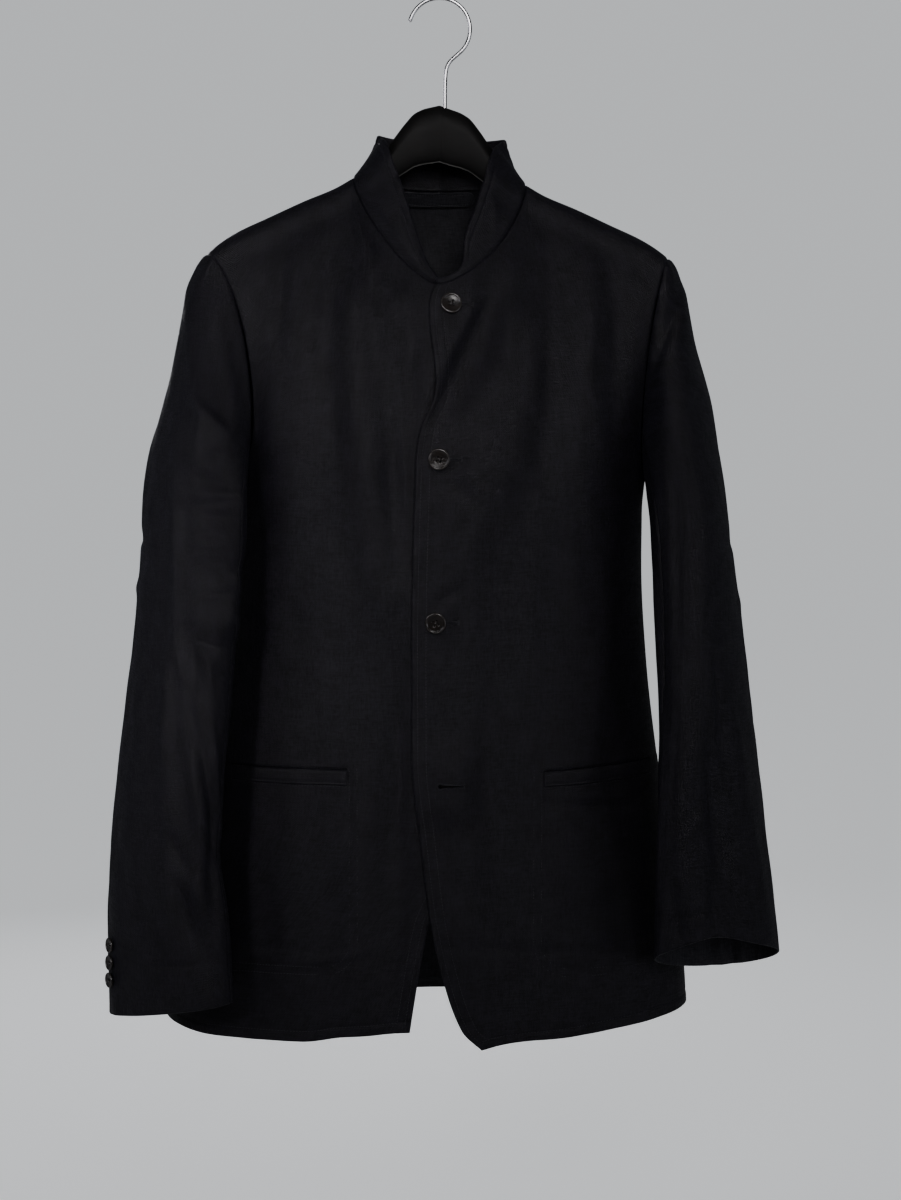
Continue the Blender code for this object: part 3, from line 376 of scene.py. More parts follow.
def shell(name, outer, out, thick, looks, roll=0.45):
    """Cloth with an outer wall on the grid, an inner wall behind it and a rolled edge all round."""
    rows, columns = outer.shape[:2]
    count = rows * columns
    inner = outer - out * thick
    away = np.zeros_like(outer)
    away[0] += unit(outer[0] - outer[1])
    away[-1] += unit(outer[-1] - outer[-2])
    away[:, 0] += unit(outer[:, 0] - outer[:, 1])
    away[:, -1] += unit(outer[:, -1] - outer[:, -2])
    index = np.arange(count).reshape(rows, columns)
    border = np.concatenate([index[0, :-1], index[:-1, -1], index[-1, :0:-1], index[:0:-1, 0]])
    lip = ((outer + inner) / 2 + unit(away) * thick * roll).reshape(-1, 3)[border]
    corners = (index[:-1, :-1], index[:-1, 1:], index[1:, 1:], index[1:, :-1])
    quads = np.stack(corners, axis=-1).reshape(-1, 4)
    edge = np.arange(len(border)) + 2 * count
    here, there = border, np.roll(border, -1)
    beside, next_beside = edge, np.roll(edge, -1)
    faces = np.concatenate(
        [
            quads,
            np.stack([here, beside, next_beside, there], axis=-1),
            quads[:, ::-1] + count,
            np.stack([beside, here + count, there + count, next_beside], axis=-1),
        ]
    )
    middle = index[rows // 2, columns // 2]
    flat = outer.reshape(-1, 3)
    faced = np.cross(flat[middle + 1] - flat[middle], flat[middle + columns] - flat[middle])
    if faced @ out[rows // 2, columns // 2] < 0:
        faces = faces[:, ::-1]
    mesh = bpy.data.meshes.new(name)
    points = np.concatenate([flat, inner.reshape(-1, 3), lip]) * MM
    mesh.from_pydata(points.tolist(), [], faces.tolist())
    # The cloth's own measure, in metres: across it and along it.
    rise = np.sign(outer[-1, 0, 2] - outer[0, 0, 2])
    u = walked(outer, 1) + outer[:, :1, 0]
    v = outer[:1, :, 2] + rise * walked(outer, 0)
    places = np.stack([u, v], axis=-1).reshape(-1, 2) * MM
    places = np.concatenate([places, places, places[border]])
    measure = mesh.uv_layers.new(name="cloth")
    corner = np.empty(len(mesh.loops), np.int32)
    mesh.loops.foreach_get("vertex_index", corner)
    measure.data.foreach_set("uv", places[corner].astype(np.float32).ravel())
    for look in looks:
        mesh.materials.append(look)
    # The inner wall takes the second look: for the linen, the inside's one that is painted lighter.
    inside = np.zeros(len(faces), np.int32)
    inside[len(quads) + len(border) : 2 * len(quads) + len(border)] = 1
    mesh.polygons.foreach_set("material_index", inside if len(looks) > 1 else 0 * inside)
    mesh.shade_smooth()
    mesh.update()
    piece = new_object(name, mesh)
    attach(piece, "root")
    return piece


def give(tree, socket, value):
    """An input is linked to another node's output, or set to a plain value."""
    if isinstance(value, bpy.types.NodeSocket):
        tree.links.new(value, socket)
    else:
        socket.default_value = value


def filled(tree, node, **inputs):
    """The node with these inputs given. An underscore in a name stands for a space."""
    for name, value in inputs.items():
        give(tree, node.inputs[name.replace("_", " ")], value)
    return node


def add_node(tree, kind, settings=None, **inputs):
    """A node of this kind, with its settings made before its inputs."""
    node = tree.nodes.new(kind)
    for name, value in (settings or {}).items():
        setattr(node, name, value)
    return filled(tree, node, **inputs)


def math_node(tree, operation, *values):
    node = add_node(tree, "ShaderNodeMath", {"operation": operation})
    for socket, value in zip(node.inputs, values):
        give(tree, socket, value)
    return node.outputs[0]


def new_look(name):
    """A material, its node tree and its shader."""
    look = bpy.data.materials.new(name)
    look.use_nodes = True
    return look, look.node_tree, look.node_tree.nodes["Principled BSDF"]


def noise(tree, places, scale, detail, **more):
    made = add_node(
        tree, "ShaderNodeTexNoise", Vector=places, Scale=scale, Detail=detail, **more
    )
    return made.outputs[0]


def toned(tree, source, dark, light, start=0.0, end=1.0):
    """A colour from dark to light as the source goes from start to end."""
    ramp = tree.nodes.new("ShaderNodeValToRGB")
    for stop, at, colour in zip(ramp.color_ramp.elements, (start, end), (dark, light)):
        stop.position = at
        stop.color = (*colour, 1)
    tree.links.new(source, ramp.inputs[0])
    return ramp.outputs[0]


def ranged(tree, source, low, high, start=0.0, end=1.0):
    """A value from low to high as the source goes from start to end."""
    limits = {"From_Min": start, "From_Max": end, "To_Min": low, "To_Max": high}
    return add_node(tree, "ShaderNodeMapRange", Value=source, **limits).outputs[0]


def bumped(tree, height, strength, distance):
    """The way that the surface faces with this relief on it."""
    made = add_node(tree, "ShaderNodeBump", Strength=strength, Distance=distance, Height=height)
    return made.outputs[0]


THREAD_PITCH = 0.00075  # metres, as are the other sizes in a material
DYE_SHARE = 0.3  # uneven dyeing, next to the threads' own shade
THICK_SHARE = {"shade": 0.28, "height": 0.4}  # the thick slubs, next to the fine threads
THREAD_RELIEF = 0.0005
SHADE_SPAN = (0.36, 0.68)  # the weave's darkest and lightest shade
GLOSS_SPAN = 0.12  # how much rougher the dark threads are than the middle ones


def linen_weave():
    """Plain weave in slubby thread: how light each thread is, and how high it stands."""
    tree = bpy.data.node_groups.new("linen_weave", "ShaderNodeTree")
    face = tree.interface
    face.new_socket("Cloth", in_out="INPUT", socket_type="NodeSocketVector")
    pitch = face.new_socket("Thread pitch", in_out="INPUT", socket_type="NodeSocketFloat")
    pitch.default_value = THREAD_PITCH
    face.new_socket("Shade", in_out="OUTPUT", socket_type="NodeSocketFloat")
    face.new_socket("Height", in_out="OUTPUT", socket_type="NodeSocketFloat")
    given = tree.nodes.new("NodeGroupInput")
    put = tree.nodes.new("NodeGroupOutput")
    apart = add_node(tree, "ShaderNodeSeparateXYZ", Vector=given.outputs["Cloth"])
    across, along = apart.outputs[:2]

    def do(operation, *values):
        return math_node(tree, operation, *values)

    def slubs(turned, seed, wide, long):
        """Streaks so many threads wide and long, running along the warp or the weft."""
        u, v = (along, across) if turned else (across, along)
        streaks = []
        for way, size in ((u, wide), (v, long)):
            threads = do("DIVIDE", way, given.outputs["Thread pitch"])
            streaks.append(do("DIVIDE", threads, size))
        joined = add_node(tree, "ShaderNodeCombineXYZ", X=streaks[0], Y=streaks[1], Z=seed)
        return noise(tree, joined.outputs[0], 1.0, 1.5, Roughness=0.6)

    def crossed(wide, long, seed):
        """Warp and weft streaks together, each adding to the other."""
        return do("ADD", slubs(False, seed, wide, long), slubs(True, seed + 6.6, wide, long))

    warp, weft = slubs(False, 3.1, 1.1, 6.5), slubs(True, 9.7, 1.1, 6.5)
    waves = []
    for way in (across, along):
        turns = do("DIVIDE", way, given.outputs["Thread pitch"])
        waves.append(do("SINE", do("MULTIPLY", turns, math.pi)))
    on_top = do("MULTIPLY_ADD", do("MULTIPLY", *waves), 0.5, 0.5)
    mixed = add_node(tree, "ShaderNodeMix", Factor=on_top, A=weft, B=warp).outputs["Result"]
    dye = noise(tree, given.outputs["Cloth"], 60.0, 3.0)
    thick = crossed(2.2, 24.0, 21.5)
    fine = do("ADD", mixed, do("MULTIPLY", dye, DYE_SHARE))
    # The total is near 0.75 for a middling thread, so a quarter less is a middle shade.
    fine = do("MULTIPLY", fine, 1 - THICK_SHARE["shade"])
    total = do("ADD", fine, do("MULTIPLY", thick, THICK_SHARE["shade"]))
    raised = do("ADD", do("MULTIPLY", on_top, 0.5), mixed)
    raised = do("ADD", raised, do("MULTIPLY", thick, THICK_SHARE["height"]))
    filled(tree, put, Shade=do("SUBTRACT", total, 0.25), Height=raised)
    return tree


def linen(name, dark, light, roughness, relief):
    """Dyed linen: near black, a little blue, with a dull shine on the threads that stand up."""
    look, tree, shader = new_look(name)
    places = add_node(tree, "ShaderNodeUVMap", {"uv_map": "cloth"})
    made = bpy.data.node_groups.get("linen_weave") or linen_weave()
    weave = add_node(tree, "ShaderNodeGroup", {"node_tree": made}, Cloth=places.outputs[0])
    shade = weave.outputs["Shade"]
    filled(
        tree,
        shader,
        Base_Color=toned(tree, shade, dark, light, *SHADE_SPAN),
        Roughness=ranged(tree, shade, roughness + GLOSS_SPAN, roughness - GLOSS_SPAN, *SHADE_SPAN),
        Normal=bumped(tree, weave.outputs["Height"], relief, THREAD_RELIEF),
        Specular_IOR_Level=0.22,
        Sheen_Weight=0.02,
        Sheen_Roughness=0.45,
        Sheen_Tint=(0.55, 0.6, 0.8, 1),
    )
    return look


LINEN = linen("dark_linen", (0.0004, 0.0003, 0.0007), (0.0106, 0.0094, 0.0146), 0.48, 0.9)
# The linen inside the jacket, on the inner walls, the pocket bags and the loop, is painted much lighter
# than the outside: painted light, standing in for the light that falls in through the openings.
LINEN_INSIDE_PAINTED_LIGHTER = linen(
    "dark_linen_inside_painted_lighter", (0.007, 0.007, 0.009), (0.024, 0.024, 0.029), 0.6, 0.6
)

LOW_ROWS = spread(0, 1, 166, (0.0, 0.03, 2.6), (0.478, 0.024, 3.0))
HIGH_ROWS = spread(0, 1, 84, (1.0, 0.04, 2.6), (0.0, 0.02, 1.5))

neck_x = NECK_HALF * np.sin(np.linspace(0, math.pi / 2, 31))
left_x = np.linspace(NECK_HALF, ARMHOLE_TOP[1], 48)[1:]
right_x = -np.linspace(NECK_HALF, ARMHOLE_TOP[-1], 48)[1:]
top_x = np.concatenate([right_x[::-1], -neck_x[:0:-1], neck_x, left_x])
on_neck = np.abs(top_x) < NECK_HALF + 0.01
top_z = np.where(on_neck, neckline_height(top_x, "back"), shoulder_height(top_x))
turn = np.linspace(-math.pi / 2, math.pi / 2, len(top_x))
far = np.clip((np.abs(top_x) - NECK_HALF) / (ARMHOLE_TOP[1] - NECK_HALF), 0, 1)
x, z = body_grid(
    (1 + np.sin(turn)) / 2,
    top_x,
    top_z,
    HEM[0],
    (lambda z: side_x(-1, "back", z), lambda z: side_x(1, "back", z)),
    (np.where(top_x < 0, far, 0), np.where(top_x > 0, far, 0)),
    LOW_ROWS,
    HIGH_ROWS,
)
grid = back_point(x, z)
first, last, low, high = edge_distances(grid)
dip = sunk(first) + sunk(last) + sunk(high) + sunk(low - HEM_STITCH, *HEM_GROOVE)
out = -grid_normals(grid)
grid = grid + out * dip[..., None]
back_grid = grid
back = shell("back_panel", grid, -grid_normals(grid), CLOTH, (LINEN, LINEN_INSIDE_PAINTED_LIGHTER))
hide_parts("back")

# ================================================================ the two fronts
# Each front is one piece from shoulder to hem with a turned-in facing along its free edge.
# The left front laps over the right one, both are cut away below the last button, and the
# cloth pulls from the neck and the hanger's arms down to the fastened buttons.

OVERLAP_LIFT = 3.4  # the left front rides over the right front
OVERLAP_WIDE = 24.0
OVERLAP_EASE = 30.0  # over this distance the lift dies out
COVERED_BUTTON = (2.0, -702.0)
BUTTON_LIFT = 4.6  # the room the covered button takes
EDGE_STITCHES = (5.0, 12.5)  # two rows along each free edge
EDGE_GROOVE = (0.35, 1.0)
SEEN_EDGE_TOP = -258.0  # where the left front's edge starts
HIDDEN_EDGE = {"x": 14.0, "z": -262.0}  # the right front's upper corner, under the left one
FRONT_EDGE = {
    1: Table(
        ("height", "x"),
        (-258, -1),
        (-267, -6),
        (-280, -8),
        (-300, -7),
        (-343, -2),
        (-356, -3),
        (-385, -16),
        (-416, -20),
        (-590, -24),
        (-674, -24),
        (-764, -15),
        (-815, -9),
        (-881, 5),
        (-924, 21),
        (-941, 38),
    ),
    -1: Table(
        ("height", "x"),
        (-262, 14),
        (-300, 20),
        (-700, 20),
        (-764, 12),
        (-800, 1),
        (-824, -9),
        (-857, -16),
        (-905, -24),
        (-925, -27),
    ),
}
FRONT_FOLDS = (
    (52, -262, 30, -330, -8, -392, 15, -8, 0),
    (82, -262, 66, -380, 8, -545, 26, 7, 0),
    (128, -220, 132, -330, 122, -460, 24, 5, 0),
    (-58, -235, -72, -330, -42, -560, 20, 7, 0),
    (-36, -300, -34, -400, -30, -500, 20, -5, 0),
    (-120, -225, -128, -340, -124, -520, 24, 4, 0),
    (-42, -560, -46, -760, -44, -925, 16, -5, 0),
    (-64, -640, -68, -800, -66, -935, 18, 5, 0),
    (60, -640, 66, -800, 60, -935, 30, -4, 0),
    (170, -740, 176, -840, 182, -925, 20, 4, 0),
)
FRONT_CREASES = {
    1: (
        (50, -266, 26, -306, -6, -379, 8, -3.5, 0.3),
        (48, -268, 22, -328, -2, -368, 12, -2.6, 0),
        (72, -285, 57, -390, 12, -512, 13, 2.6, 0.2),
        (64, -236, 54, -355, 20, -474, 10, 2.4, -0.3),
        (24, -470, 14, -510, 4, -560, 9, 1.4, 0),
        (132, -238, 133, -285, 128, -345, 9, 2.8, 0),
        (180, -250, 183, -280, 177, -325, 7, 2.2, 0),
        (98, -205, 100, -299, 90, -413, 13, -2.8, 0.2),
        (156, -216, 157, -299, 154, -387, 9, -2.2, 0),
        (7, -429, 17, -439, 30, -452, 6, -1.5, 0.3),
        (-2, -543, 6, -536, 18, -524, 5, -2.2, 0.3),
        (-12, -538, -4, -526, 4, -512, 6, 1.3, 0),
        (1, -849, 106, -855, 218, -856, 3.5, -1.2, 0.4),
        (93, -721, 160, -726, 192, -727, 4.5, -1.3, 0.4),
        (96, -714, 150, -718, 190, -719, 5, 0.8, 0),
        (45, -650, 42, -705, 36, -770, 17, -1.0, 0),
        (30, -590, 60, -640, 70, -690, 12, 1.2, 0),
        (120, -770, 135, -800, 180, -822, 9, 1.2, 0.3),
        (98, -830, 130, -818, 176, -800, 8, -0.9, 0),
        (150, -500, 156, -580, 150, -660, 14, 1.0, 0),
        (104, -470, 100, -560, 106, -650, 14, -0.8, 0),
    ),
    -1: (
        (-82, -176, -68, -216, -52, -268, 8, 3.0, 0.3),
        (-58, -270, -50, -315, -37, -362, 9, 3.4, 0.3),
        (-35, -358, -30, -420, -25, -485, 7, 3.2, 0.3),
        (-26, -476, -24, -515, -26, -560, 8, 1.3, 0),
        (-20, -271, -39, -277, -55, -296, 9, 2.6, 0),
        (-24, -292, -26, -336, -20, -378, 9, -3.4, 0),
        (-46, -380, -43, -440, -38, -520, 6, -2.2, 0),
        (-108, -212, -110, -275, -112, -345, 9, 2.0, 0),
        (-156, -220, -152, -255, -153, -299, 7, 1.8, 0),
        (-129, -206, -127, -255, -129, -305, 8, 1.3, 0),
        (-143, -214, -141, -265, -143, -330, 6, -1.3, 0),
        (-96, -202, -88, -250, -83, -299, 7, 1.4, 0.2),
        (-76, -322, -75, -369, -79, -420, 10, 1.4, 0),
        (-104, -240, -102, -300, -104, -380, 10, -1.5, 0),
        (-160, -290, -166, -400, -168, -540, 12, -3.0, 0),
        (-37, -540, -37, -720, -38, -890, 8, -2.6, 0.3),
        (-150, -868, -97, -858, -44, -841, 3.6, 1.0, -0.3),
        (-116, -772, -95, -771, -74, -766, 3.5, 0.8, 0.3),
        (-120, -590, -96, -640, -88, -700, 13, 1.2, 0),
        (-200, -850, -140, -853, -60, -852, 3.5, -0.9, 0.4),
    ),
}
# Each pocket has a level opening, a welt below it, and a bag whose outline is stitched
# through in two rows with its lower inner corner rounded.
POCKET = {
    1: {"inner": 94.0, "outer": 192.0, "slit": -690.0, "tilt": 0.05, "bottom": -868.0},
    -1: {"inner": -82.0, "outer": -187.0, "slit": -690.0, "tilt": 0.0, "bottom": -865.0},
}
POCKET_GAUGE = 7.0  # between the two rows
POCKET_CORNER = 22.0
WELT_TALL = 11.5
WELT_BELOW = 0.4  # from the opening down to the welt's fold


def slit_height(x, side):
    pocket = POCKET[side]
    return pocket["slit"] + pocket["tilt"] * (side * x - abs(pocket["inner"] + pocket["outer"]) / 2)


def opening_groove(x, z, side):
    """The opening shows as a narrow groove, and the cloth behind it stays whole."""
    return sunk(z - slit_height(x, side) - 0.8, 1.9, 1.3)


def pocket_lift(x, z, side):
    """The bag's thickness shows through, and its two rows of stitches draw the cloth in."""
    pocket = POCKET[side]
    inner = side * x - abs(pocket["inner"])
    outer = abs(pocket["outer"]) - side * x
    above = slit_height(x, side) + 2 - z
    inside = smooth((inner + 2) / 4) * smooth((z - pocket["bottom"]) / 4) * smooth(above / 4)
    across = smooth((inner + 1) / 3) * smooth((outer + 1) / 3)
    # The two stitched rows go round the bag at an even distance from a smaller outline.
    right = POCKET_CORNER - inner
    down = pocket["bottom"] + POCKET_CORNER - z
    away = np.hypot(np.maximum(right, 0), np.maximum(down, 0))
    away = away + np.minimum(np.maximum(right, down), 0) - POCKET_CORNER - 2.0
    drawn = sunk(away, 0.6, 1.2) + sunk(away - POCKET_GAUGE, 0.6, 1.2)
    drawn = drawn * smooth((above + 1) / 3) * smooth((outer + 6) / 4)
    return 0.4 * inside + drawn + across * opening_groove(x, z, side)


def front_point(x, z, side):
    """A place on the outside of a front, with its folds, its pocket and its overlap."""
    lift = creases(x, z, FRONT_FOLDS)
    own = creases(x, z, FRONT_CREASES[side])
    if side == -1:
        # Under the overlap the right front takes the creases of the left one that covers it.
        under = smooth((x - FRONT_EDGE[1].read("x", z) + 12) / 12)
        own = own + under * (creases(x, z, FRONT_CREASES[1]) - own)
    lift = lift + own
    lift = lift + unevenness(x, z, 11 + side, 40, 0.45)
    place, normal, lift = hung(x, z, "front", lift)
    lift = lift + pocket_lift(x, z, side)
    if side == 1:
        lift = lift + OVERLAP_LIFT * (1 - smooth((x - OVERLAP_WIDE) / OVERLAP_EASE))
        far = np.hypot(x - COVERED_BUTTON[0], (z - COVERED_BUTTON[1]) * 0.8)
        lift = lift + BUTTON_LIFT * (1 - smooth((far - 10) / 32))
    return place + normal * lift[..., None]


def front_columns(side):
    """Each column's share below the arm, and its place along the neckline and the shoulder."""
    start = math.asin(float(FRONT_EDGE[1].read("x", SEEN_EDGE_TOP)) / NECK_HALF) if side > 0 else 0.0
    neck = NECK_HALF * np.sin(spread(start, math.pi / 2, 54, (start, 0.2, 2.6)))
    shoulder = np.linspace(NECK_HALF, ARMHOLE_TOP[side], 52)[1:]
    tops = side * np.concatenate([neck, shoulder])
    on_neck = np.abs(tops) < NECK_HALF + 0.01
    heights = np.where(on_neck, neckline_height(tops, "front"), shoulder_height(tops))
    if side < 0:
        tucked = np.linspace(HIDDEN_EDGE["x"], 0, 9)[:-1]
        tops = np.concatenate([tucked, tops])
        heights = np.concatenate([HIDDEN_EDGE["z"] + 4 * smooth(1 - tucked / 6), heights])
    pocket = POCKET[side]
    edge = float(FRONT_EDGE[side].read("x", pocket["slit"]))
    bands = ((edge, 17, 2.6), (pocket["inner"], 9, 2.4))
    below = turned_columns(edge, side, pocket["slit"], len(tops), *bands)
    return (below - edge) / (below[-1] - edge), tops, heights


front_grids = {}
fronts = {}
for side, named in ((1, "left"), (-1, "right")):
    share, tops, heights = front_columns(side)
    from_edge = np.clip(1 - np.abs(tops - tops[0]) / 50, 0, 1)
    to_arm = np.clip((np.abs(tops) - NECK_HALF) / (np.abs(tops[-1]) - NECK_HALF), 0, 1)
    x, z = body_grid(
        share,
        tops,
        heights,
        HEM[side],
        (
            lambda z, side=side: FRONT_EDGE[side].read("x", z),
            lambda z, side=side: side_x(side, "front", z),
        ),
        (from_edge, to_arm),
        LOW_ROWS,
        HIGH_ROWS,
    )
    grid = front_point(x, z, side)
    first, last, low, high = edge_distances(grid)
    dip = sunk(last) + sunk(high) + sunk(low - HEM_STITCH, *HEM_GROOVE)
    dip += 0.5 * (1 - smooth((first - 3) / 5)) + 0.3 * (1 - smooth((low - 5) / 5))
    for row in EDGE_STITCHES:
        dip += sunk(first - row, *EDGE_GROOVE)
    out = grid_normals(grid) * side
    grid = grid + out * dip[..., None]
    front_grids[side] = grid
    name = f"{named}_front"
    out = grid_normals(grid) * side
    front = shell(name, grid, out, CLOTH, (LINEN, LINEN_INSIDE_PAINTED_LIGHTER))
    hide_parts(f"front_{named}")
    fronts[side] = front

# ================================================================ the pockets
# Each pocket is a bag of the same linen inside the front, held by two rows of stitching that
# go through to the outside. A folded welt is sewn on just below its level opening, which is
# a groove here and isn't cut through.

WELT_THICK = 1.2
BAG_THICK = 1.0

for side, named in ((1, "left"), (-1, "right")):
    pocket = POCKET[side]
    x = np.linspace(pocket["inner"], pocket["outer"], 96)
    up = spread(0, WELT_TALL, 16, (0, 1.5, 2.5), (WELT_TALL, 1.5, 2.5))[:, None]
    z = slit_height(x, side) - WELT_BELOW - WELT_TALL + up
    place = front_point(x + 0 * z, z, side)
    out = grid_normals(place) * side
    # Its fold bridges the groove of the opening, and the middle is a little full.
    full = -opening_groove(x, z, side)
    full = full + 0.3 * np.sin(math.pi * np.clip(up / WELT_TALL, 0, 1)) + sunk(up - 2.0, 0.4, 0.9)
    full = full + unevenness(x + 0 * z, z, 31 + side, 24, 0.12)
    place = place + out * (full + WELT_THICK + 0.1)[..., None]
    welt = shell(f"{named}_pocket_welt", place, out, WELT_THICK, (LINEN,))
    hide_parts(f"pocket_welt_{named}")

    share = np.linspace(0, 1, 44)
    z = np.linspace(pocket["bottom"] + 0.5, pocket["slit"] - 2.5, 70)[:, None] + 0 * share
    high = np.clip((pocket["bottom"] + POCKET_CORNER - z) / POCKET_CORNER, 0, 1)
    corner = POCKET_CORNER * (1 - np.sqrt(1 - high**2))
    start = abs(pocket["inner"]) + 0.5 + corner
    x = side * (start + share * (abs(pocket["outer"]) - 0.5 - start))
    place = front_point(x, z, side)
    out = grid_normals(place) * side
    place = place - out * (CLOTH + 0.45)
    bag = shell(f"{named}_pocket_bag", place, out, BAG_THICK, (LINEN_INSIDE_PAINTED_LIGHTER,))
    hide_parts(f"pocket_bag_{named}")

# ================================================================ the sleeves
# Two-piece tailored sleeves: a wide top sleeve and a narrow under sleeve, joined by a hind
# and a front seam, and eased into the armhole. They hang forwards, creased at the elbow.

SLEEVE_TWIST = 28.0
UNDERARM_CLEAR = 6.5
INNER_SIDE = (176.0, 26.0)  # degrees round: the middle of the side by the body, and half width
HEAD_REACH = (34.0, 58.0)  # how far down the armhole shapes the sleeve, and more front and back
CUFF_WAVE = (160.0, 26.0)  # degrees round from the hind side: its middle and its half width
SLEEVE_COLUMNS = ("height", "out", "y", "length", "breadth", "turn")
SLEEVE = {
    -1: Table(
        SLEEVE_COLUMNS,
        (-229, 183, -4, 60, 38, 75),
        (-252, 190, -5, 62, 39, 75),
        (-274, 192, -7, 64, 40, 75),
        (-315, 199, -12, 66, 40, 73),
        (-364, 208, -30, 68, 38, 66),
        (-410, 216, -47, 69, 37, 60),
        (-450, 219, -60, 69, 35, 54),
        (-500, 221, -68, 70, 34, 52),
        (-560, 227, -75, 70, 33, 53),
        (-630, 233, -83, 69, 33, 51),
        (-700, 240, -90, 68, 31, 48),
        (-764, 245, -93, 67, 30, 43),
        (-820, 243, -95, 67, 28, 34),
        (-920, 241, -95, 66, 27, 29),
    ),
    1: Table(
        SLEEVE_COLUMNS,
        (-236, 180, -4, 60, 38, 75),
        (-256, 184, -5, 62, 38, 75),
        (-285, 190, -7, 64, 38, 75),
        (-315, 197, -10, 67, 37, 75),
        (-364, 210, -26, 70, 36, 76),
        (-410, 218, -42, 72, 34, 78),
        (-450, 223, -55, 73, 34, 80),
        (-520, 230, -66, 73, 34, 76),
        (-590, 236, -74, 72, 34, 70),
        (-650, 240, -80, 70, 34, 62),
        (-730, 243, -86, 69, 33, 50),
        (-790, 246, -90, 67, 32, 40),
        (-890, 251, -93, 66, 33, 28),
    ),
}
CUFF = {
    -1: {"height": -903.0, "rise_outwards": -0.18, "rise_backwards": -0.05, "wave": 0.0},
    1: {"height": -855.8, "rise_outwards": 0.16, "rise_backwards": -0.48, "wave": 7.5},
}
SLEEVE_SEAM = {
    -1: {"hind": (-75.0, -9.0), "front": (120.0, 130.0)},
    1: {"hind": (-75.0, -68.0), "front": (120.0, 128.0)},
}
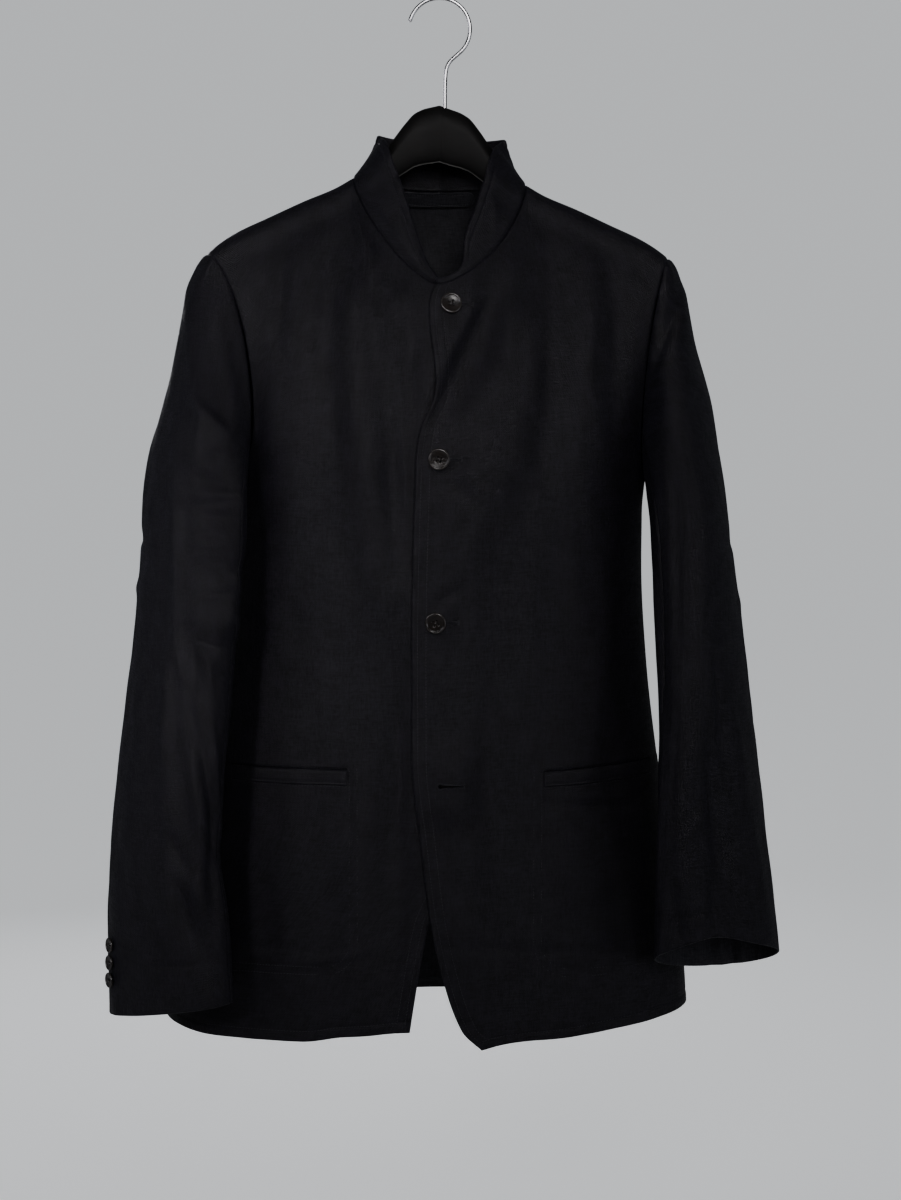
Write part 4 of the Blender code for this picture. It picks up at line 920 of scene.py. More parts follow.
# Folds on the sleeves run in degrees round the sleeve, from the outside forwards, and in height.
SLEEVE_FOLDS = {
    -1: (
        (100, -300, 125, -350, 140, -400, 10, 4, 0),
        (60, -320, 72, -390, 80, -450, 12, 3, 0),
        (60, -498, 105, -505, 150, -512, 10, -4, 0),
        (50, -545, 100, -553, 150, -560, 12, 3.5, 0),
        (118, -690, 110, -780, 98, -870, 10, -5, 0),
        (78, -760, 68, -810, 58, -860, 12, 4, 0),
        (215, -540, 255, -530, 300, -520, 14, -4, 0),
        (38, -265, 64, -307, 79, -347, 7, 3, 0.2),
        (70, -319, 87, -360, 96, -395, 6, 2, 0),
        (39, -256, 67, -298, 92, -343, 6, -2.5, 0),
        (56, -355, 78, -385, 100, -402, 6, 2, 0),
        (47, -400, 77, -415, 110, -420, 5, -1.6, 0.3),
        (66, -442, 87, -442, 125, -441, 4, -3.6, 0),
        (52, -424, 77, -428, 100, -432, 5, 1.6, 0),
        (57, -448, 78, -453, 115, -451, 5, 2, 0),
        (64, -367, 77, -378, 93, -392, 4, 3, 0),
        (79, -406, 92, -410, 118, -413, 4, 2.8, 0),
        (68, -417, 82, -423, 108, -435, 4, -2.8, 0),
        (78, -458, 88, -462, 105, -459, 4, -2.2, 0),
        (76, -476, 86, -478, 100, -477, 4, -2.4, 0),
        (65, -489, 87, -492, 125, -489, 4, -1.4, 0),
        (68, -502, 81, -501, 98, -501, 4, -2.6, 0),
        (92, -512, 102, -511, 121, -513, 3.6, -2.2, 0),
        (77, -529, 90, -529, 115, -528, 4, -2.4, 0),
        (51, -409, 53, -500, 62, -574, 7, 3.4, 0),
        (58, -570, 56, -622, 64, -722, 7, 3, 0),
        (69, -447, 74, -499, 77, -568, 9, 2, 0),
        (60, -574, 67, -593, 72, -612, 4.5, 2.2, 0),
        (82, -572, 90, -585, 97, -612, 4.5, 2.6, 0),
        (76, -577, 80, -595, 86, -620, 4.5, -2.4, 0),
        (83, -573, 88, -572, 105, -575, 4, -2.4, 0),
        (82, -632, 96, -680, 125, -764, 5, -4.2, 0.1),
        (72, -621, 86, -689, 110, -760, 7, 3, 0),
        (95, -620, 115, -690, 139, -746, 5, 2.8, 0),
        (81, -595, 86, -637, 90, -671, 5, 2.5, 0),
        (68, -733, 81, -758, 95, -786, 6, -3.2, 0),
        (75, -781, 81, -801, 87, -837, 4, -2, 0),
        (45, -861, 72, -857, 106, -854, 2.6, -0.9, 0),
        (67, -742, 78, -778, 84, -827, 7, -1.5, 0),
        (71, -735, 91, -778, 100, -822, 6, 2.2, 0),
        (106, -790, 107, -823, 109, -860, 7, 1.5, 0),
        (57, -613, 61, -673, 69, -735, 9, 1.5, 0),
        (53, -828, 51, -863, 49, -891, 8, 1.5, 0),
        (-40, -330, -20, -400, -6, -470, 10, 2.4, 0.2),
        (-60, -470, -20, -486, 16, -480, 7, -1.8, 0.3),
        (-70, -520, -30, -530, 10, -524, 7, 1.8, 0),
        (-30, -600, -24, -680, -30, -780, 10, 2.0, 0),
        (250, -380, 262, -430, 280, -470, 10, 2.6, 0),
        (215, -500, 250, -498, 290, -486, 7, 2.0, 0.3),
        (205, -580, 235, -566, 280, -560, 7, 1.8, 0),
        (240, -640, 246, -720, 238, -820, 10, 2.2, 0),
    ),
    1: (
        (80, -275, 100, -310, 125, -345, 11, -6, 0),
        (140, -450, 138, -560, 132, -700, 11, 4, 0),
        (85, -420, 88, -530, 88, -640, 14, -4, 0),
        (66, -650, 60, -740, 52, -840, 11, -6, 0),
        (34, -660, 28, -750, 20, -840, 12, 4, 0),
        (95, -690, 90, -770, 84, -840, 12, 4, 0),
        (215, -520, 255, -510, 300, -500, 14, -4, 0),
        (10, -256, 50, -298, 88, -345, 6, -3.4, 0.3),
        (10, -264, 46, -307, 75, -347, 8, 2, 0),
        (97, -378, 120, -448, 125, -505, 6, 2.2, 0),
        (127, -500, 130, -570, 124, -640, 5, 2.6, 0.3),
        (124, -636, 121, -709, 126, -830, 5.5, 2.4, 0.3),
        (86, -404, 99, -498, 104, -602, 7, -3, 0),
        (104, -600, 104, -690, 104, -765, 6, -2, 0),
        (68, -334, 75, -361, 97, -395, 6, 2, 0),
        (84, -568, 62, -573, 36, -570, 5, 2, 0.3),
        (64, -581, 63, -620, 59, -674, 5, 2.4, 0),
        (59, -588, 55, -639, 50, -737, 5.5, -3.4, 0),
        (40, -612, 38, -677, 37, -758, 8, 2, 0),
        (52, -765, 43, -802, 34, -834, 6, 2, 0),
        (84, -736, 72, -726, 60, -716, 4.5, 1.4, 0),
        (115, -795, 118, -824, 129, -846, 5, 2, 0),
        (100, -790, 98, -823, 98, -842, 5, -2.4, 0),
        (60, -590, 63, -662, 60, -764, 6, -2.4, 0),
        (56, -676, 47, -757, 47, -838, 8, 2.6, 0),
        (86, -738, 78, -724, 70, -713, 5, 2.2, 0),
        (76, -829, 68, -800, 70, -779, 5, -2.2, 0),
        (122, -819, 85, -809, 60, -801, 2.6, -0.9, 0),
        (60, -801, 44, -803, 28, -812, 2.6, -0.9, 0),
        (228, -810, 230, -850, 232, -890, 4, 2, 0),
        (240, -810, 242, -850, 244, -890, 4, -1.8, 0),
        (254, -810, 256, -850, 256, -890, 5, 2, 0),
        (272, -810, 272, -850, 272, -890, 4, -1.6, 0),
        (77, -772, 77, -811, 77, -836, 6, 1.8, 0),
        (-1, -495, -6, -577, -12, -655, 9, 1.6, 0),
        (30, -460, 58, -470, 84, -464, 6, -1.3, 0.3),
        (24, -520, 50, -528, 80, -524, 6, 1.2, 0),
        (-50, -330, -30, -400, -14, -470, 10, 2.4, 0.2),
        (-64, -476, -24, -490, 10, -486, 7, -1.8, 0.3),
        (-60, -540, -30, -546, 0, -540, 7, 1.6, 0),
        (-36, -620, -30, -700, -36, -800, 10, 2.0, 0),
        (250, -380, 262, -430, 280, -470, 10, 2.6, 0),
        (215, -480, 250, -478, 290, -470, 7, 2.0, 0.3),
        (205, -560, 235, -548, 280, -540, 7, 1.8, 0),
        (236, -620, 242, -700, 236, -800, 10, 2.2, 0),
    ),
}


def sleeve_section(side, around, z):
    """The place on the sleeve's oval at this height."""
    table = SLEEVE[side]
    turn = np.radians(-table.read("turn", z))
    angle = np.radians(around + SLEEVE_TWIST * (1 - np.cos(np.radians(around))) / 2) - turn
    far = table.read("length", z) * np.cos(angle)
    near = table.read("breadth", z) * np.sin(angle)
    out = far * np.cos(turn) - near * np.sin(turn)
    forward = far * np.sin(turn) + near * np.cos(turn)
    return table.read("out", z) + out, table.read("y", z) - forward


def sleeve_tube(side, around, down):
    """The sleeve without its folds. Down is 0 at the armhole and 1 at the cuff."""
    seam = armhole(side, around)
    cuff = CUFF[side]
    out, y = sleeve_section(side, around, cuff["height"])
    low = cuff["height"] + cuff["rise_outwards"] * (out - SLEEVE[side].read("out", -880))
    low = low + cuff["rise_backwards"] * (y - SLEEVE[side].read("y", -880))
    low = low + cuff["wave"] * np.exp(-(((np.mod(around + 90, 360) - CUFF_WAVE[0]) / CUFF_WAVE[1]) ** 2))
    z = seam[..., 2] + down * (low - seam[..., 2])
    out, y = sleeve_section(side, around, z)
    reach = HEAD_REACH[0] + HEAD_REACH[1] * np.abs(np.sin(np.radians(around)))
    blend = 1 - (1 - np.clip((seam[..., 2] - z) / reach, 0, 1)) ** 2
    fallen = np.clip((seam[..., 2] - z) / 60, 0, 1)
    inner = np.exp(-(((np.mod(around, 360) - INNER_SIDE[0]) / INNER_SIDE[1]) ** 2))
    out = out + UNDERARM_CLEAR * inner * (1 - fallen) ** 2
    x = seam[..., 0] + blend * (side * out - seam[..., 0])
    y = seam[..., 1] + blend * (y - seam[..., 1])
    return np.stack(np.broadcast_arrays(x, y, z), axis=-1)


def sleeve_normal(side, around, down):
    a = sleeve_tube(side, around + 1, down) - sleeve_tube(side, around - 1, down)
    lower = sleeve_tube(side, around, np.minimum(down + 0.004, 1.0))
    b = lower - sleeve_tube(side, around, np.maximum(down - 0.004, 0.0))
    return unit(np.cross(a, b)) * side


def sleeve_point(side, around, down):
    place = sleeve_tube(side, around, down)
    turned = np.mod(around + 90, 360) - 90
    fallen = armhole(side, around)[..., 2] - place[..., 2]
    lift = creases(turned, place[..., 2], SLEEVE_FOLDS[side])
    lift = lift + unevenness(around, place[..., 2], 21 + side, 30, 0.4)
    # The head of the sleeve is eased in, so it stands a little proud of the seam.
    eased = 1.5 * np.exp(-(((fallen - 9) / 9) ** 2)) * (0.6 + 0.4 * np.cos(np.radians(around)))
    eased = eased * (1 + 0.3 * np.sin(around * 0.42))
    lift = lift * smooth(fallen / 40) + eased
    return place + sleeve_normal(side, around, down) * lift[..., None]


SLEEVE_ROWS = spread(0, 1, 282, (0, 0.015, 3.0), (0.42, 0.13, 1.5), (1, 0.02, 2.0))
sleeve_grids = {}
for side, named in ((1, "left"), (-1, "right")):
    seams = SLEEVE_SEAM[side]
    down = SLEEVE_ROWS[:, None]
    hind = seams["hind"][0] + (seams["hind"][1] - seams["hind"][0]) * smooth(down)
    front = seams["front"][0] + (seams["front"][1] - seams["front"][0]) * smooth(down)
    for which, start, end, cells in (
        ("top", hind, front, 76),
        ("under", front, hind + 360, 64),
    ):
        around = start + spread(0, 1, cells, (0, 0.03, 1.8), (1, 0.03, 1.8)) * (end - start)
        grid = sleeve_point(side, around, down + 0 * around)
        first, last, low, high = edge_distances(grid)
        dip = sunk(first, 0.8, 1.6) + sunk(last, 0.8, 1.6) + sunk(low, 1.2, 2.0)
        grid = grid + grid_normals(grid) * side * dip[..., None]
        out = grid_normals(grid) * side
        sleeve_grids[side, which] = grid
        name = f"{named}_{which}_sleeve"
        sleeve = shell(name, grid, out, CLOTH, (LINEN, LINEN_INSIDE_PAINTED_LIGHTER))
        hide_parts(f"{which}_sleeve_{named}")

# ================================================================ the collar and its loop
# A narrow stand collar of two layers of linen over a stiffening, cut on the curve and sewn
# round the neckline. It tapers to nothing at the centre front. A strip of the same linen,
# for hanging the jacket on a peg, is sewn inside the back below it.

BAND = 2.2
COLLAR = Table(
    ("around", "left", "right", "bend"),
    (0, 3, 4, 0),
    (12, 4, 11, 2),
    (18, 7, 15.5, 3),
    (25, 17, 21, 4),
    (31, 25, 25, 6),
    (40, 31, 31, 8),
    (60, 39, 40, 16),
    (77, 43, 43, 24),
    (90, 44, 44, 28),
    (120, 44, 44, 26),
    (150, 43, 43, 20),
    (180, 43, 43, 18),
)
COLLAR_END = {1: -1.0, -1: -3.8}
COLLAR_STITCH = 6.5  # from its top edge
# Degrees round the neck and millimetres up the band.
COLLAR_CREASES = (
    (292, 3, 312, 12, 330, 15, 3.2, 0.9, 0),
    (305, 22, 318, 26, 336, 18, 3.0, -0.7, 0),
    (42, 6, 56, 20, 66, 34, 3.5, 0.7, 0),
    (150, 6, 178, 10, 205, 7, 3.5, 0.5, 0),
    (96, 30, 120, 22, 140, 30, 4.5, 0.6, 0),
    (222, 28, 240, 20, 262, 28, 4.5, 0.6, 0),
)
LOOP = {"left": -34.0, "right": 32.0, "top": -168.4, "bottom": -181.0}
LOOP_CLOTH = 1.2
LOOP_CLEAR = 1.6  # its outer side from the back's inner side, at its ends
LOOP_BOW = 1.2  # and this much more in its middle


def neck_point(around):
    """The neckline, from the centre front over the wearer's left shoulder and round the back."""
    x = NECK_HALF * np.sin(np.radians(around))
    front = np.cos(np.radians(around)) > 1e-6
    x = np.where(around < 0.01, COLLAR_END[1], x)
    x = np.where(around > 359.99, COLLAR_END[-1], x)
    left = front_point(x, neckline_height(x, "front"), 1)
    right = front_point(x, neckline_height(x, "front"), -1)
    back = back_point(x, neckline_height(x, "back"))
    place = np.where(front[:, None], np.where((around < 180)[:, None], left, right), back)
    place[np.abs(np.cos(np.radians(around))) < 1e-6, 1] = 0.0
    return place


def neck_normals(around):
    """The way the panels face along the neckline."""
    base = neck_point(around)
    x, z = base[:, 0], base[:, 2]
    front = (np.cos(np.radians(around)) > 0)[:, None]
    out = np.where(front, body_normal(x, z, "front"), body_normal(x, z, "back"))
    slope = (shoulder_height(x + 1) - shoulder_height(x - 1)) / 2
    ridge = unit(np.stack([-slope, 0 * x, 0 * x + 1], axis=-1))
    return np.where((np.abs(np.cos(np.radians(around))) < 1e-6)[:, None], ridge, out)


def collar_way(around):
    """Up the band: square to the neckline, and standing up from the panel by the bend."""
    total = 0
    for shift, weight in ((-8, 0.25), (0, 0.5), (8, 0.25)):
        here = np.clip(around + shift, 1.0, 359.0)
        step = np.minimum(here + 6, 359.9)
        along = unit(neck_point(step) - neck_point(np.maximum(here - 6, 0.1)))
        out = neck_normals(here)
        across = unit(np.cross(out, along))
        bend = np.radians(COLLAR.read("bend", np.where(here > 180, 360 - here, here)))[:, None]
        total = total + weight * (np.cos(bend) * across + np.sin(bend) * out)
    return unit(total)


def loop_bow(x):
    return LOOP_BOW * np.sin(math.pi * (x - LOOP["left"]) / (LOOP["right"] - LOOP["left"]))


stations = np.linspace(0, 360, 29)
ways = Table(("around", "x", "y", "z"), *zip(stations, *collar_way(stations).T))
around = np.linspace(0, 360, 4001)
walk = walked(neck_point(around)[None], 1)[0]
around = np.interp(np.linspace(0, walk[-1], 300), walk, around)
base = neck_point(around)
way = unit(np.stack([ways.read(axis, around) for axis in "xyz"], axis=-1))
tall = np.where(around > 180, COLLAR.read("right", 360 - around), COLLAR.read("left", around))
steps = spread(0, 1, 34, (0, 0.12, 2.2), (0.92, 0.08, 2.5))[:, None]
up = steps * tall
grid = base[None] + way[None] * up[..., None]
out = grid_normals(grid)
lift = creases(around + 0 * up, up, COLLAR_CREASES) + unevenness(around, up, 41, 34, 0.22)
lift = lift * smooth(up / 8) * smooth((tall - up) / 4) * smooth((tall - 10) / 16)
lift = lift + sunk(tall - up - COLLAR_STITCH, 0.6, 1.1) * smooth((tall - 12) / 6)
lift = lift + sunk(up, 1.0, 1.6) - 0.2 * smooth(1 - (tall - up) / 3)
grid = grid + out * lift[..., None]
collar_grid = grid
collar = shell("collar_band", grid, grid_normals(grid), BAND, (LINEN,), roll=0.5)
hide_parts("collar")

half = (LOOP["top"] - LOOP["bottom"]) / 2
level = half * np.sin(np.linspace(-1, 1, 15) * math.pi / 2 * 0.98)[:, None]
rounded = LOOP["right"] - half + np.sqrt(half**2 - level**2)
x = LOOP["left"] + np.linspace(0, 1, 40) * (rounded - LOOP["left"])
z = LOOP["bottom"] + half + level + 0 * x
place = back_point(x, z)
inward = grid_normals(place)
place = place + inward * (CLOTH + LOOP_CLEAR + loop_bow(x)[..., None])
edge = np.minimum(half - np.abs(level), np.minimum(x - LOOP["left"], rounded - x))
place = place + inward * sunk(edge - 2.0, 0.4, 0.9)[..., None]
# The loop takes the inside's linen, which is painted lighter as painted light.
loop = shell("locker_loop", place, grid_normals(place), LOOP_CLOTH, (LINEN_INSIDE_PAINTED_LIGHTER,))
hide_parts("hanger_loop")

# ================================================================ the stitching
# Dark polyester thread, some nine stitches to 25 mm. Two rows hold the facing along each
# front's free edge and the outline of each pocket bag, and one row the hem, the lower edge
# of each welt, the top of the collar and the loop. Each stitch sinks a little at its ends.

STITCH_PITCH = 2.8
STITCH_LONG = 2.15
THREAD = 0.42
ROW_PROUD = 0.12  # how far the stitches stand off the cloth


def stitch_tree():
    """A row of stitches along each line, every stitch lying the way that the line says."""
    tree = bpy.data.node_groups.new("stitch_row", "GeometryNodeTree")
    face = tree.interface
    face.new_socket("Geometry", in_out="INPUT", socket_type="NodeSocketGeometry")
    for name, value in (("Pitch", 0.0028), ("Stitch", 0.002), ("Thread", 0.0004)):
        face.new_socket(name, in_out="INPUT", socket_type="NodeSocketFloat").default_value = value
    face.new_socket("Finish", in_out="INPUT", socket_type="NodeSocketMaterial")
    face.new_socket("Geometry", in_out="OUTPUT", socket_type="NodeSocketGeometry")
    given, put = tree.nodes.new("NodeGroupInput"), tree.nodes.new("NodeGroupOutput")
    lines = add_node(tree, "GeometryNodeMeshToCurve", Mesh=given.outputs["Geometry"])
    even = add_node(
        tree,
        "GeometryNodeResampleCurve",
        {"mode": "LENGTH"},
        Curve=lines.outputs[0],
        Length=given.outputs["Pitch"],
    )
    bead = add_node(tree, "GeometryNodeMeshUVSphere", Segments=6, Rings=4, Radius=0.5)
    lies = add_node(
        tree, "GeometryNodeInputNamedAttribute", {"data_type": "FLOAT_VECTOR"}, Name="lies"
    )
    turned = add_node(
        tree, "FunctionNodeAlignRotationToVector", {"axis": "Z"}, Vector=lies.outputs[0]
    )
    chance = add_node(tree, "FunctionNodeRandomValue", {"data_type": "FLOAT"}, Seed=7)
    for socket in chance.inputs:
        if socket.name in ("Min", "Max") and socket.type == "VALUE":
            socket.default_value = {"Min": 0.86, "Max": 1.08}[socket.name]
    long = math_node(tree, "MULTIPLY", given.outputs["Stitch"], chance.outputs[1])
    thread = given.outputs["Thread"]
    size = add_node(tree, "ShaderNodeCombineXYZ", X=thread, Y=thread, Z=long)
    copies = add_node(
        tree,
        "GeometryNodeInstanceOnPoints",
        Points=even.outputs[0],
        Instance=bead.outputs["Mesh"],
        Rotation=turned.outputs[0],
        Scale=size.outputs[0],
    )
    real = add_node(tree, "GeometryNodeRealizeInstances", Geometry=copies.outputs[0])
    finish = add_node(
        tree,
        "GeometryNodeSetMaterial",
        Geometry=real.outputs[0],
        Material=given.outputs["Finish"],
    )
    filled(tree, put, Geometry=finish.outputs[0])
    return tree


def sewn(name, lines, sizes, finish, tree):
    """One mesh of all the stitches along lines of (places, the way that they lie)."""
    mesh = bpy.data.meshes.new(name)
    points = np.concatenate([places for places, _ in lines])
    edges, start = [], 0
    for places, _ in lines:
        edges += [(start + k, start + k + 1) for k in range(len(places) - 1)]
        start += len(places)
    mesh.from_pydata((points * MM).tolist(), edges, [])
    lies = mesh.attributes.new("lies", "FLOAT_VECTOR", "POINT")
    ways = np.concatenate([way for _, way in lines])
    lies.data.foreach_set("vector", ways.astype(np.float32).ravel())
    guide = new_object(name + "_guide", mesh)
    maker = guide.modifiers.new("stitches", "NODES")
    maker.node_group = tree
    given = dict(zip(("Pitch", "Stitch", "Thread"), np.array(sizes) * MM), Finish=finish)
    for item in tree.interface.items_tree:
        if item.in_out == "INPUT" and item.name in given:
            value = given[item.name]
            maker[item.identifier] = value if item.name == "Finish" else float(value)
    graph = bpy.context.evaluated_depsgraph_get()
    graph.update()
    made = bpy.data.meshes.new_from_object(guide.evaluated_get(graph), depsgraph=graph)
    bpy.data.objects.remove(guide)
    made.shade_smooth()
    stitches = new_object(name, made)
    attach(stitches, "root")
    return stitches


def thread_look(name, dark, light, roughness):
    """Twisted thread: fine slanting plies, a little brighter than the cloth."""
    look, tree, shader = new_look(name)
    place = add_node(tree, "ShaderNodeTexCoord").outputs["Object"]
    slanting = {"bands_direction": "DIAGONAL"}
    plies = add_node(tree, "ShaderNodeTexWave", slanting, Vector=place, Scale=1800, Distortion=1.0)
    filled(
        tree,
        shader,
        Base_Color=toned(tree, plies.outputs["Fac"], dark, light),
        Roughness=roughness,
        Specular_IOR_Level=0.3,
    )
    return look


def line_on(grid, axis, distance, keep=slice(None)):
    """The line that keeps a distance, walked along the cloth, from the first row or column."""
    grid = np.swapaxes(grid, 0, 1) if axis == 0 else grid
    steps = walked(grid, 1)
    rows = [
        [np.interp(distance, steps[k], grid[k, :, n]) for n in range(3)] for k in range(len(grid))
    ]
    return np.array(rows)[keep]


def running(places, out=0.0, proud=0.0):
    """Stitches that lie along their own line, just proud of the cloth."""
    return places + out * proud, unit(np.gradient(places, axis=0))


def on_panel(line, forward=0.1):
    """The same on a front, or on the back where forward is below 0."""
    return running(line, np.array([0, -forward, 0]) + 0 * line, 1.0)


THREAD_DARK = thread_look("dark_thread", (0.012, 0.012, 0.016), (0.034, 0.034, 0.042), 0.45)
stitch_rows = stitch_tree()
row_sizes = (STITCH_PITCH, STITCH_LONG, THREAD)


def on_front(x, z, side, proud):
    """A line on a front's outside and the way that it faces there."""
    place = front_point(x, z, side)
    a = front_point(x + 0.5, z, side) - front_point(x - 0.5, z, side)
    b = front_point(x, z + 0.5, side) - front_point(x, z - 0.5, side)
    return place + unit(np.cross(a, b)) * proud


for side, named in ((1, "left"), (-1, "right")):
    grid = front_grids[side]
    lines = []
    for distance in EDGE_STITCHES:
        keep = slice(6, None) if side > 0 else slice(6, len(grid) - 4)
        lines.append(on_panel(line_on(grid, 1, distance, keep)))
    hem = line_on(grid, 0, HEM_STITCH)
    from_edge = walked(grid, 1)[3]
    lines.append(on_panel(hem[from_edge > EDGE_STITCHES[0]]))
    pocket = POCKET[side]
    inner, outer = abs(pocket["inner"]), abs(pocket["outer"])
    for out_by, ends in ((2.0, outer + 1.0), (2.0 + POCKET_GAUGE, outer + 4.0)):
        corner = POCKET_CORNER + out_by
        turn = np.radians(np.linspace(180, 270, 14))
        low = pocket["bottom"] - out_by
        top = float(slit_height(side * inner, side)) + 2.0
        down = np.linspace(top, low + corner, 60)
        x = np.concatenate(
            [
                np.full(60, inner - out_by),
                inner - out_by + corner + corner * np.cos(turn),
                np.linspace(inner - out_by + corner, ends, 40)[1:],
            ]
        )
        z = np.concatenate([down, low + corner + corner * np.sin(turn), np.full(39, low)])
        if out_by < 3:
            along = np.linspace(outer, inner - out_by, 40)[:-1]
            x = np.concatenate([along, x])
            z = np.concatenate([slit_height(side * along, side) + 2.4, z])
        lines.append(running(on_front(side * x, z, side, ROW_PROUD)))
    x = side * np.linspace(inner + 1, outer - 1, 50)
    z = slit_height(x, side) - WELT_BELOW - WELT_TALL - 1.6
    lines.append(running(on_front(x, z, side, ROW_PROUD)))
    sewn(f"{named}_front_stitches", lines, row_sizes, THREAD_DARK, stitch_rows)

hem = line_on(back_grid, 0, HEM_STITCH)
sewn("back_hem_stitches", [on_panel(hem, -0.1)], row_sizes, THREAD_DARK, stitch_rows)

line = line_on(collar_grid[::-1], 0, COLLAR_STITCH)
ahead = np.swapaxes(grid_normals(collar_grid)[::-1], 0, 1)[:, 3]
tall_enough = tall > 14
lines = [running(line[tall_enough], ahead[tall_enough], ROW_PROUD)]
sewn("collar_stitches", lines, (2.5, 1.9, 0.40), THREAD_DARK, stitch_rows)

lines = []
for level in (LOOP["top"] - 2.0, LOOP["bottom"] + 2.0):
    x = np.linspace(LOOP["left"] + 1, LOOP["right"] - 5, 30)
    place = back_point(x, level + 0 * x)
    inward = -body_normal(x, level + 0 * x, "back")
    lines.append(running(place, inward, CLOTH + 1.75 + loop_bow(x)[:, None]))
sewn("loop_stitches", lines, (2.4, 1.8, 0.38), THREAD_DARK, stitch_rows)

# ================================================================ buttonholes and buttons
# Four worked buttonholes lie across the left front, each with an eye at the edge's end, a
# close rim of silk twist and a bar at the inner end. Three are filled by horn buttons, and
# the fourth is left open over its button. Three smaller ones close each sleeve's vent.

HOLE_LONG = 20.0
HOLE_EYE = 2.0
HOLE_LIP = 35.0  # degrees round the eye to where each lip starts
HOLE_RIM = 1.5
FRONT_BUTTON = {"radius": 9.6, "thick": 3.6}
CUFF_BUTTON = {"radius": 7.0, "thick": 2.8}
HOLES_OUT = 0.24  # shares of a button's radius: from its middle to a hole, and the hole's own
HOLE_SHARE = 0.095
FRONT_BUTTONS = {1: (10.0, -277.0, 0.4), 2: (0.0, -412.0, 1.2), 3: (-3.0, -556.0, 0.3)}
OPEN_HOLE = (1.0, -702.0)
COVERED_STEM = 0.5
SLEEVE_LENGTH = 650.0
CUFF_BUTTONS = {"pitch": 15.0, "lowest": 30.0, "around": 15.0, "shank": 0.5}


def hole_outline(widest, narrow, count=90):
    """Round the eye and along both lips to the inner end, in the cloth's own plane."""
    turn = np.radians(np.linspace(HOLE_LIP, 360 - HOLE_LIP, 40))
    eye = np.stack([widest * np.cos(turn), widest * np.sin(turn)], axis=-1)
    along = np.linspace(widest * math.cos(math.radians(HOLE_LIP)), HOLE_LONG, count)[1:]
    share = (along - along[0]) / (along[-1] - along[0])
    past_eye = smooth(share / 0.25)
    lip = widest * math.sin(math.radians(HOLE_LIP)) * (1 - past_eye)
    lip = lip + narrow * (past_eye * (1 - 0.75 * share))
    upper = np.stack([along, lip], axis=-1)
    lower = upper * (1, -1)
    return np.concatenate([upper[::-1], eye, lower])


def worked_rim(centre, outline):
    """Cross stitches square to the outline, and the bar that ends the slit."""
    x0, z0 = centre
    tangent = unit(np.gradient(outline, axis=0))
    square = np.stack([tangent[:, 1], -tangent[:, 0]], axis=-1)
    inwards = (square * (outline - (HOLE_LONG / 2, 0))).sum(-1).mean() < 0
    square = -square if inwards else square
    middle = outline + square * HOLE_RIM * 0.42
    a = on_front(x0 + middle[:, 0], z0 + middle[:, 1], 1, 0.32)
    b = on_front(x0 + (middle + square)[:, 0], z0 + (middle + square)[:, 1], 1, 0.1)
    lines = [(a, unit(b - a))]
    for shift in (0.6, 1.2):
        rise = np.linspace(-2.1, 2.1, 16)
        bar = on_front(x0 + HOLE_LONG + shift + 0 * rise, z0 + rise, 1, 0.35)
        lines.append((bar, np.tile((1.0, 0.0, 0.08), (16, 1))))
    return lines


def cut_away(whole, cutter):
    """The mesh that is left of a piece where the cutter has been through it."""
    cut = whole.modifiers.new("cut", "BOOLEAN")
    cut.operation = "DIFFERENCE"
    cut.solver = "EXACT"
    cut.object = cutter
    graph = bpy.context.evaluated_depsgraph_get()
    return bpy.data.meshes.new_from_object(whole.evaluated_get(graph), depsgraph=graph)


TWIST = thread_look("buttonhole_twist", (0.006, 0.006, 0.008), (0.022, 0.022, 0.027), 0.45)
wide_open = hole_outline(HOLE_EYE, 1.1)
nearly_shut = hole_outline(1.3, 0.35)
lines = []
for x, z, _ in FRONT_BUTTONS.values():
    lines += worked_rim((x - 1.0, z), nearly_shut)
lines += worked_rim(OPEN_HOLE, wide_open)
sewn("buttonhole_rims", lines, (0.42, HOLE_RIM, 0.46), TWIST, stitch_rows)

made = bmesh.new()
rings = []
for depth in (-9.0, 6.0):
    x, z = OPEN_HOLE[0] + wide_open[:, 0], OPEN_HOLE[1] + wide_open[:, 1]
    place = on_front(x, z, 1, 0) + np.array([0, depth, 0])
    rings.append([made.verts.new(p * MM) for p in place])
for k in range(len(wide_open)):
    n = (k + 1) % len(wide_open)
    made.faces.new((rings[0][k], rings[0][n], rings[1][n], rings[1][k]))
made.faces.new(rings[0])
made.faces.new(rings[1][::-1])
bmesh.ops.recalc_face_normals(made, faces=made.faces)
cutter_mesh = bpy.data.meshes.new("open_buttonhole")
made.to_mesh(cutter_mesh)
made.free()
cutter_mesh.materials.append(LINEN)
cutter = new_object("open_buttonhole", cutter_mesh)
left_front = fronts[1]
left_front.data = cut_away(left_front, cutter)
left_front.modifiers.clear()
bpy.data.objects.remove(cutter)


